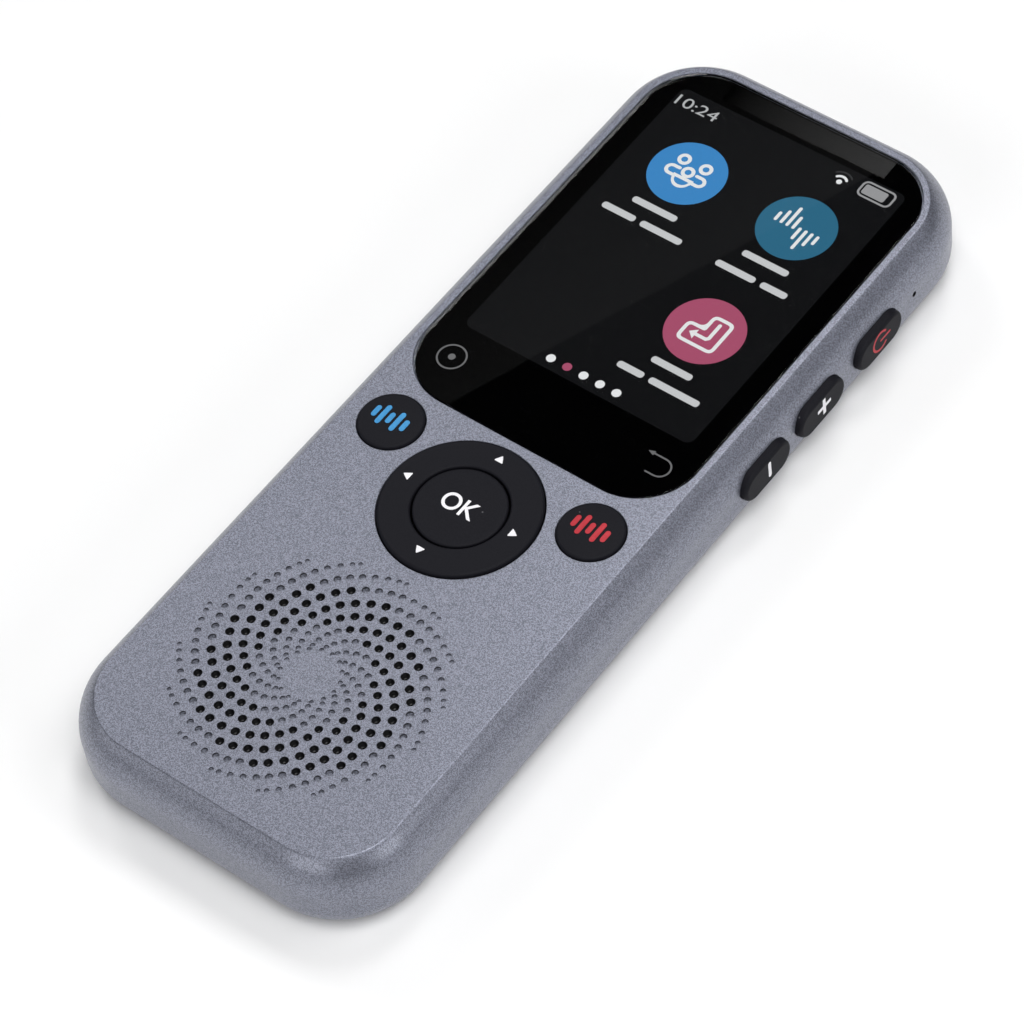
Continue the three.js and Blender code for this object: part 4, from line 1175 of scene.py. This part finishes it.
# Talk keys
# Two small crowned rubber keys stand beside the navigation key, one for each speaker.
# Each carries a printed sound wave of five bars, blue on the left and red on the right.
talk_key = RoundKey(radius=4.42 * mm, stem=1.2 * mm, flange=5.22 * mm, flange_bottom=10.5 * mm,
                    flange_top=11.2 * mm, plate=1.1 * mm, skirt=0.9 * mm, ease=0.35 * mm, crown=0.15 * mm)
talk_sides = 96
talk_nodes = ("talk_left_button", "talk_right_button")
talk_places = [middle(node).xy for node in talk_nodes]
talk_low, talk_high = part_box("talk_left_button")
talk_rim = talk_high.z - talk_key.crown
wave_pitch = 1.14 * mm
wave_width = 0.72 * mm
wave_lengths = [length * mm for length in (1.9, 3.3, 1.85, 3.3, 1.9)]
wave_shift = Vector((-0.15, 0.15)) * mm
wave_rise = 0.045 * mm
wave_steps = 8
blue_ink = grained("blue_ink", (0.024, 0.24, 0.53), (0.036, 0.29, 0.61), roughness=0.5)
red_ink = grained("red_ink", (0.42, 0.005, 0.016), (0.50, 0.010, 0.026), roughness=0.5)


def line(start, end):
    """Points along a straight line, close enough to follow a crowned surface."""
    return [Vector(start).lerp(Vector(end), step / wave_steps) for step in range(wave_steps + 1)]


def talk_sign(place):
    """Five upright bars that follow the crown of the key."""
    bars = []
    for number, length in enumerate(wave_lengths):
        x = place.x + wave_shift.x + (number - (len(wave_lengths) - 1) / 2) * wave_pitch
        y = place.y + wave_shift.y
        half = (length - wave_width) / 2
        outline = stroke(line((x, y - half), (x, y + half)), wave_width)
        bars.append(mark(outline, talk_rim - ink_sink, talk_rim + wave_rise,
                         lambda px, py: crown_rise(talk_key, (Vector((px, py)) - place).length)))
    return merged(bars)


for node, place, ink in zip(talk_nodes, talk_places, (blue_ink, red_ink)):
    body = node.replace("_button", "_key")
    cap = round_key(talk_key, talk_low.z, talk_rim, place, talk_sides)
    evenly_shaded(cap)
    dressed(cap, f"{body}_cap", rubber, body, [node])
    dressed(talk_sign(place), f"{body}_wave", ink, body)


# Side keys
# Three pill-shaped rubber keys stand out of slots in the right side. Each has a flange
# inside the wall and a nub over an edge switch. Their signs are printed, power in red.
side_low, side_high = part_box("power_button")
side_key_in, side_key_out = side_low.x, side_high.x
side_nub_height = 0.3 * mm
side_flange_thickness = 0.6 * mm
side_flange_in = side_key_in + side_nub_height
side_flange_out = side_flange_in + side_flange_thickness
side_flange_ear = 0.8 * mm
side_key_ease = 0.5 * mm
sign_width = 0.6 * mm
sign_rise = 0.3 * mm
plus_reach = 1.15 * mm
plus_ease_share = 0.3
power_radius = 1.55 * mm
power_line = 0.36 * mm
power_opening = math.radians(43)
power_bar_foot = 0.1 * mm
power_bar_top = 2.05 * mm
power_shift = -0.15 * mm
volume_shift = 0.2 * mm


def side_key():
    """A pill with a rounded outer edge, a longer flange behind it and a round nub."""
    cap = Outline(side_key_height, side_key_length, side_key_height / 2, 16)
    rings = [outline_ring(cap, 0, side_flange_in)]
    rings += [outline_ring(cap, -reach, height)
              for reach, height in rounded_edge(0, side_key_out, side_key_ease)]
    flange_width = side_key_height - 2 * fit_gap
    flange = Outline(flange_width, side_key_length + 2 * side_flange_ear, flange_width / 2, 16)
    parts = [plate(flange, side_flange_in, side_flange_out),
             rod(nub_radius, side_key_in, side_flange_in + fit_gap, (0, 0))]
    return shaped(loft(rings), parts, "UNION")


def power_sign():
    """A ring open towards the screen end with a bar through the opening."""
    start = math.pi / 2 + power_opening
    ring = arc(power_radius, start, start + 2 * (math.pi - power_opening), 32)
    return [stroke(ring, power_line), stroke([(0, power_bar_foot), (0, power_bar_top)], power_line)]


def volume_down_sign():
    return [stroke([(-plus_reach, 0), (plus_reach, 0)], sign_width)]


def volume_up_sign():
    """A plus as one outline of twelve corners, softened a little."""
    near, far = sign_width / 2, plus_reach + sign_width / 2
    quarter = [Vector((far, -near)), Vector((far, near)), Vector((near, near))]
    corners = []
    for number in range(4):
        turn = Matrix.Rotation(number * math.pi / 2, 2)
        corners += [turn @ corner for corner in quarter]
    return [rounded(corners, plus_ease_share * near, 2)]


side_signs = (
    ("power", power_sign(), red_ink, power_shift),
    ("volume_up", volume_up_sign(), white_ink, volume_shift),
    ("volume_down", volume_down_sign(), white_ink, volume_shift),
)
for key, outlines, ink, shift in side_signs:
    y = middle(f"{key}_button").y
    cap = on_x(side_key(), y, side_key_z)
    evenly_shaded(cap)
    dressed(cap, f"{key}_key_cap", rubber, f"{key}_key", [f"{key}_button"])
    bars = [mark(outline, side_key_out - ink_sink, side_key_out + ink_rise) for outline in outlines]
    sign = on_x(merged(bars), y + shift, side_key_z + sign_rise)
    dressed(sign, f"{key}_sign", ink, f"{key}_key")


# Front housing
# The front half of the case is moulded with a flat face, a soft crease all round and a
# convex edge. The glass recess, the key holes and the grille's spiral arms are cut in it.
crease_radius = 0.3 * mm
crease_steps = 6
lip_clearance = 0.2 * mm
lip_thickness = 0.8 * mm
boss_radius = 1.7 * mm
glass_gap = 0.15 * mm
glass_low, glass_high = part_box("screen_glass")
glass_width = glass_high.x - glass_low.x
glass_length = glass_high.y - glass_low.y
glass_y = (glass_low.y + glass_high.y) / 2
glass_corner = 8.503 * mm
glass_steps = 24
adhesive_room = 0.2 * mm
glass_seat = glass_low.z - adhesive_room
window_gap = 0.2 * mm
window_corner = 0.8 * mm
nav_hole = nav_radius + nav_gap
talk_hole = talk_key.radius + key_gap
speaker_place = middle("speaker_mesh").xy
speaker_radius = 14 * mm
speaker_rib = 0.9 * mm
speaker_rib_height = 1.9 * mm
grille_radius = 17.43 * mm
arm_count = 16
holes_per_arm = 20
open_holes = range(8, 15)
half_open_hole = 7
half_open_drop = 3 * mm
hole_swell = 0.055 * mm
hole_shelf = 0.75 * mm
hole_throat_share = 0.3
bead_width = 0.1 * mm
bead_height = 0.04 * mm
arm_start = math.radians(85.1)
arm_sweep = math.radians(135.6)
arm_key_shares = ((1, 0), (0.906, 0.133), (0.781, 0.301), (0.605, 0.533), (0.401, 0.787), (0.227, 1))
small_hole_share = 0.0166
hole_swell_share = 0.0141
hole_rim = 0.03 * mm
hole_sides = 20
dimple_depth_share = 0.9
dimple_floor_share = 0.85
dimple_wall_share = 0.8
dimple_rim = 0.03 * mm
dimple_sides = 16


def along_arm(share):
    """A point on the arm's smooth curve, as shares of its reach and of its turn."""
    last = len(arm_key_shares) - 1
    place = last * share
    start = min(int(place), last)
    t = place - start
    keys = [Vector(arm_key_shares[min(max(start + step, 0), last)]) for step in (-1, 0, 1, 2)]
    before, a, b, after = keys
    lead, trail = (b - before) / 2, (after - a) / 2
    cubic = 2 * a - 2 * b + lead + trail
    square = 3 * b - 3 * a - 2 * lead - trail
    return cubic * t ** 3 + square * t ** 2 + lead * t + a


def grille_holes():
    """Each hole of the grille: its place, its radius and whether it goes through."""
    for arm in range(arm_count):
        for number in range(holes_per_arm):
            reach, turn = along_arm(number / (holes_per_arm - 1))
            angle = arm_start + arm_sweep * turn + arm * 2 * math.pi / arm_count
            direction = Vector((math.cos(angle), math.sin(angle)))
            swell = math.sin(math.pi * number / (holes_per_arm - 1))
            radius = grille_radius * (small_hole_share + hole_swell_share * swell)
            place = speaker_place + direction * grille_radius * reach
            low_enough = place.y < speaker_place.y - half_open_drop
            through = number in open_holes or (number == half_open_hole and low_enough)
            yield place, radius, through


def grille_cutter():
    """A cutter for every hole: stepped where it goes through, a shallow cup where it doesn't."""
    cutters = []
    shelf_z = face_z - hole_shelf
    for place, radius, through in grille_holes():
        if through:
            mouth = radius + hole_swell
            throat = radius * hole_throat_share
            profile = [
                (0, ceiling_z - overrun),
                (throat, ceiling_z - overrun),
                (throat, shelf_z),
                (throat + bead_width, shelf_z + bead_height),
                (throat + 2 * bead_width, shelf_z),
                (mouth, shelf_z),
                (mouth, face_z - hole_rim),
                (mouth + hole_rim, face_z),
                (mouth + 2 * hole_rim, face_z + hole_rim),
                (0, face_z + hole_rim),
            ]
            cutters.append(turned(profile, hole_sides, place))
            continue
        depth = radius * dimple_depth_share
        profile = [
            (0, face_z - depth),
            (radius * dimple_floor_share, face_z - depth),
            (radius, face_z - depth * dimple_wall_share),
            (radius, face_z - dimple_rim),
            (radius + dimple_rim, face_z),
            (radius + 2 * dimple_rim, face_z + dimple_rim),
            (0, face_z + dimple_rim),
        ]
        cutters.append(turned(profile, dimple_sides, place))
    return merged(cutters)


def front_outside():
    """Outlines up the convex edge and round the soft crease to the flat face."""
    centre_drop = edge_drop - crease_radius
    centre_reach = edge_radius - crease_radius
    centre_inset = edge_radius - math.sqrt(centre_reach ** 2 - centre_drop ** 2)
    meeting = math.asin(centre_drop / centre_reach)
    rings = edge_rings(0, edge_angle(0, front_rim_z - seam_close), meeting)
    for step in range(1, crease_steps + 1):
        angle = meeting + (math.pi / 2 - meeting) * step / crease_steps
        inset = centre_inset - crease_radius * math.cos(angle)
        height = widest_z + centre_drop + crease_radius * math.sin(angle)
        rings.append(outline_ring(body_outline, inset, height))
    return rings


def seam_lip():
    """The lip that reaches down inside the rear housing and closes the seam."""
    outer = edge_inset(wall, rear_rim_z) + lip_clearance
    inner = outer + lip_thickness
    bottom, top = front_rim_z - lip_depth, ceiling_z + fit_gap
    solid = loft([outline_ring(body_outline, outer, z) for z in (bottom, top)])
    bore = loft([outline_ring(body_outline, inner, z) for z in (bottom - overrun, top + overrun)])
    return shaped(solid, [bore], "DIFFERENCE")


def front_housing():
    """A shell with a lip, a rib round the speaker and screw bosses, cut for all that it holds."""
    seam_z = front_rim_z - seam_close
    inside = edge_rings(wall, edge_angle(wall, seam_z), edge_angle(wall, ceiling_z))
    below = outline_ring(body_outline, edge_inset(wall, seam_z), seam_z - overrun)
    shell = shaped(loft(front_outside(), "front_shell"), [loft([below] + inside)], "DIFFERENCE")
    rib_bottom, rib_top = ceiling_z - speaker_rib_height, ceiling_z + fit_gap
    rib_inner = speaker_radius + fit_gap
    rib_outer = rib_inner + speaker_rib
    rib = turned([
        (rib_inner, rib_bottom),
        (rib_outer, rib_bottom),
        (rib_outer, rib_top),
        (rib_inner, rib_top),
    ], 64, speaker_place)
    boss_bottom = case_post_top + fit_gap
    bosses = [rod(boss_radius, boss_bottom, ceiling_z + fit_gap, place) for place in case_screw_places]
    shaped(shell, [seam_lip(), rib] + bosses, "UNION")
    cutters = [rod(case_shaft_radius + fit_gap, boss_bottom - overrun, ceiling_z, place)
               for place in case_screw_places]
    through = face_wall + overrun
    cutters.append(hole_flare(nav_hole, nav_place, face_z, through, nav_sides))
    cutters += [hole_flare(talk_hole, place, face_z, through, 72) for place in talk_places]
    recess = Outline(glass_width + 2 * glass_gap, glass_length + 2 * glass_gap,
                     glass_corner + glass_gap, glass_steps)
    cutters.append(loft([
        outline_ring(recess, 0, glass_seat, glass_y),
        outline_ring(recess, 0, face_z - rim_ease, glass_y),
        outline_ring(recess, -rim_ease, face_z, glass_y),
        outline_ring(recess, -rim_ease, face_z + overrun, glass_y),
    ]))
    window = Outline(panel_high.x - panel_low.x + 2 * window_gap,
                     panel_high.y - panel_low.y + 2 * window_gap, window_corner, 4)
    cutters.append(plate(window, ceiling_z - overrun, face_z, (panel_low.y + panel_high.y) / 2))
    cutters.append(grille_cutter())
    return shaped(shell, cutters, "DIFFERENCE")


def in_grille_hole(face):
    """Whether a face is a hole's wall or shelf, but not the wall's inside or a dimple's floor."""
    from_middle = (face.center.xy - speaker_place).length
    depth = face_z - face.center.z
    if from_middle > grille_radius + overrun or depth > face_wall - fit_gap:
        return False
    if face.normal.z < -wall_lean:
        return False
    return depth > hole_shelf - layer_gap or (face.normal.z < wall_lean and depth > dimple_rim)


front_case = front_housing()
evenly_shaded(front_case)
dressed(front_case, "front_case", paint, replaced=["front_housing"])
# The grille's hole walls, shelves and dimple walls are near-black: partly bare moulding, partly painted
# shade.
unpainted(front_case, in_grille_hole)


# Screen glass
# One piece of clear cover glass lies flush in the face. Its edge is ground to a fine
# bevel, and a black border is printed on its underside round the display.
glass_ease = 0.06 * mm
ease_middle_share = 0.3
polish_wave = 12 * mm
polish_depth = 0.002 * mm
print_gap = 0.006 * mm
print_thickness = 0.006 * mm


def clear_glass():
    """Clear glass, with the faintest waviness in its polish."""
    material, tree, shader = bare_material("clear_glass")
    relief(tree, shader, grain(tree, polish_wave, detail=1), polish_depth)
    set_sockets(shader, {
        "Base Color": (0.98, 0.99, 0.99, 1),
        "Transmission Weight": 1.0,
        "Roughness": 0.0,
        "IOR": 1.5,
    })
    return material


glass_outline = Outline(glass_width, glass_length, glass_corner, glass_steps)
ease_middle = glass_ease * ease_middle_share
cover = loft([
    outline_ring(glass_outline, 0, glass_low.z, glass_y),
    outline_ring(glass_outline, 0, face_z - glass_ease, glass_y),
    outline_ring(glass_outline, ease_middle, face_z - ease_middle, glass_y),
    outline_ring(glass_outline, glass_ease, face_z, glass_y),
])
evenly_shaded(cover)
dressed(cover, "cover_glass", clear_glass(), replaced=["screen_glass"])

print_top = glass_low.z - print_gap
print_outline = Outline(glass_width - fit_gap, glass_length - fit_gap, glass_corner, glass_steps)
border = plate(print_outline, print_top - print_thickness, print_top, glass_y)
opening = mark(flat_ring(lit_outline, 0, lit_centre), print_top - overrun, print_top + overrun)
shaped(border, [opening], "DIFFERENCE")
border_ink = grained("border_ink", (0.0004, 0.0004, 0.0005), (0.0008, 0.0008, 0.0009),
                     roughness=0.3, gloss=0)
dressed(border, "glass_border", border_ink)

# Two touch signs are lit through the border under the display: home and back.
touch_gap = 0.001 * mm
touch_thickness = 0.003 * mm
touch_bottom = print_top + touch_gap
touch_top = touch_bottom + touch_thickness
touch_glow = glowing("touch_glow", (0.17, 0.17, 0.175))
touch_line = 0.24 * mm
home_place = Vector((-16.18, 5.44)) * mm
home_radius = 1.95 * mm
home_dot = 0.5 * mm
back_bend = 1.45 * mm
back_centre = Vector((16.92, 5.63)) * mm
back_line = 2.05 * mm
back_foot = 1.25 * mm
back_head = 0.95 * mm
back_head_share = 0.8
back_spread = 0.75 * mm

home = [
    circle_line(home_radius, touch_line, home_place, touch_bottom, touch_top),
    mark(disc(home_dot, home_place, 24), touch_bottom, touch_top),
]
dressed(merged(home), "home_sign", touch_glow)
bend = moved(arc(back_bend, math.pi / 2, -math.pi / 2), back_centre)
path = [bend[0] + leftwards * back_line] + bend + [bend[-1] + leftwards * back_foot]
back_sign = mark(stroke(path, touch_line), touch_bottom, touch_top)
tip = path[0] + leftwards * (back_head * back_head_share)
head_outline = arrow_outline(tip, leftwards, back_spread, back_head, drawn_tip_ease)
shaped(back_sign, [mark(head_outline, touch_bottom, touch_top)], "UNION")
dressed(back_sign, "back_sign", touch_glow)


# Case screws
# Four small steel machine screws go in from the back. Each has a flat head with an
# eased rim and a hexagonal socket, sunk a little below the back.
screw_node = "case_screw_{}"
screw_ease = 0.15 * mm
screw_ease_middle = screw_ease * ease_middle_share
hex_radius = 0.7 * mm
hex_depth = 0.5 * mm
for number, place in enumerate(case_screw_places, 1):
    low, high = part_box(screw_node.format(number))
    seat = low.z + case_head_height
    screw = turned([
        (0, low.z),
        (case_head_radius - screw_ease, low.z),
        (case_head_radius - screw_ease_middle, low.z + screw_ease_middle),
        (case_head_radius, low.z + screw_ease),
        (case_head_radius, seat),
        (case_shaft_radius, seat),
        (case_shaft_radius, high.z),
        (0, high.z),
    ], 32, place)
    drive = rod(hex_radius, low.z - overrun, low.z + hex_depth, place, 6)
    shaped(screw, [drive], "DIFFERENCE")
    evenly_shaded(screw)
    dressed(screw, f"case_screw_head_{number}", steel, replaced=[screw_node.format(number)])


# Floor and light
# A plain pale floor runs out of the picture on all sides. Soft lamps stand round the
# translator, two dim panels overhead show in its glass, and a dark sky fills the shadows.
floor_reach = 3
lamp_distance = 1.2
floor_paint = grained("floor", (0.93, 0.93, 0.93), (0.94, 0.94, 0.94), roughness=0.9,
                      size=30 * mm, depth=0.001 * mm)
floor_form = bmesh.new()
bmesh.ops.create_grid(floor_form, x_segments=1, y_segments=1, size=floor_reach)
floor = solid_of(floor_form, "floor")
floor.data.materials.append(floor_paint)


def softbox(name, direction, width, height, power):
    """A flat rectangular lamp that faces the translator from a direction."""
    lamp = bpy.data.lights.new(name, "AREA")
    lamp.shape = "RECTANGLE"
    lamp.size = width
    lamp.size_y = height
    lamp.energy = power
    holder = bpy.data.objects.new(name, lamp)
    towards = Vector(direction).normalized()
    turn = towards.to_track_quat("Z", "Y").to_matrix().to_4x4()
    holder.matrix_world = Matrix.Translation(towards * lamp_distance) @ turn
    bpy.context.scene.collection.objects.link(holder)


def studio_sky(horizon, ceiling, turn_height):
    """A dark room that is a little paler round the horizon than overhead."""
    sky = bpy.data.worlds.new("sky")
    sky.use_nodes = True
    tree = sky.node_tree
    height = add_node(tree, "SeparateXYZ")
    tree.links.new(add_node(tree, "TexCoord").outputs["Generated"], height.inputs["Vector"])
    ramp = add_node(tree, "ValToRGB")
    ramp.color_ramp.elements[0].color = (*horizon, 1)
    ramp.color_ramp.elements[1].color = (*ceiling, 1)
    ramp.color_ramp.elements[1].position = turn_height
    tree.links.new(height.outputs["Z"], ramp.inputs["Fac"])
    tree.links.new(ramp.outputs["Color"], tree.nodes["Background"].inputs["Color"])
    bpy.context.scene.world = sky


def glowing_panel(name, foot, turn, width, length, height, bright):
    """A faintly lit panel overhead that fades across its width, from its right edge."""
    material, tree, shader = bare_material(name)
    across = add_node(tree, "SeparateXYZ")
    tree.links.new(object_place(tree), across.inputs["Vector"])
    fade = add_node(tree, "MapRange")
    set_sockets(fade, {"From Min": -width, "From Max": 0, "To Max": bright})
    tree.links.new(across.outputs["X"], fade.inputs["Value"])
    tree.links.new(fade.outputs["Result"], shader.inputs["Emission Strength"])
    set_sockets(shader, {
        "Emission Color": (1, 1, 1, 1),
        "Base Color": (0, 0, 0, 1),
        "Specular IOR Level": 0,
    })
    form = bmesh.new()
    corners = ((-width, 0), (0, 0), (0, length), (-width, length))
    form.faces.new([form.verts.new((x, y, 0)) for x, y in corners])
    panel = solid_of(form, name)
    panel.data.materials.append(material)
    place = Matrix.Translation((foot[0], foot[1], height))
    panel.matrix_world = place @ Matrix.Rotation(math.radians(turn), 4, "Z")


studio_sky(horizon=(0.02, 0.02, 0.021), ceiling=(0.004, 0.004, 0.0045), turn_height=0.55)
softbox("back_right_softbox", (0.45, 0.46, 0.76), width=0.5, height=0.5, power=2.0)
softbox("top_softbox", (0.27, -0.16, 0.95), width=0.7, height=0.7, power=8.6)
softbox("foot_softbox", (0.04, -0.90, 0.44), width=0.9, height=0.6, power=3.6)
softbox("right_softbox", (0.91, 0.02, 0.42), width=0.7, height=0.4, power=3.0)
softbox("low_left_softbox", (-0.70, -0.60, 0.35), width=0.8, height=0.4, power=1.5)
softbox("back_softbox", (-0.17, 0.47, 0.86), width=0.35, height=0.35, power=3.2)
softbox("back_left_softbox", (-0.70, 0.31, 0.64), width=0.3, height=0.3, power=2.1)
glowing_panel("ceiling_panel", (-0.711, 0.61), turn=-21.3, width=0.14, length=0.36, height=1.2,
              bright=0.045)
glowing_panel("ceiling_strip", (-0.590, 0.895), turn=0, width=0.1, length=0.05, height=1.195,
              bright=0.4)
bpy.context.scene.view_settings.view_transform = "Standard"
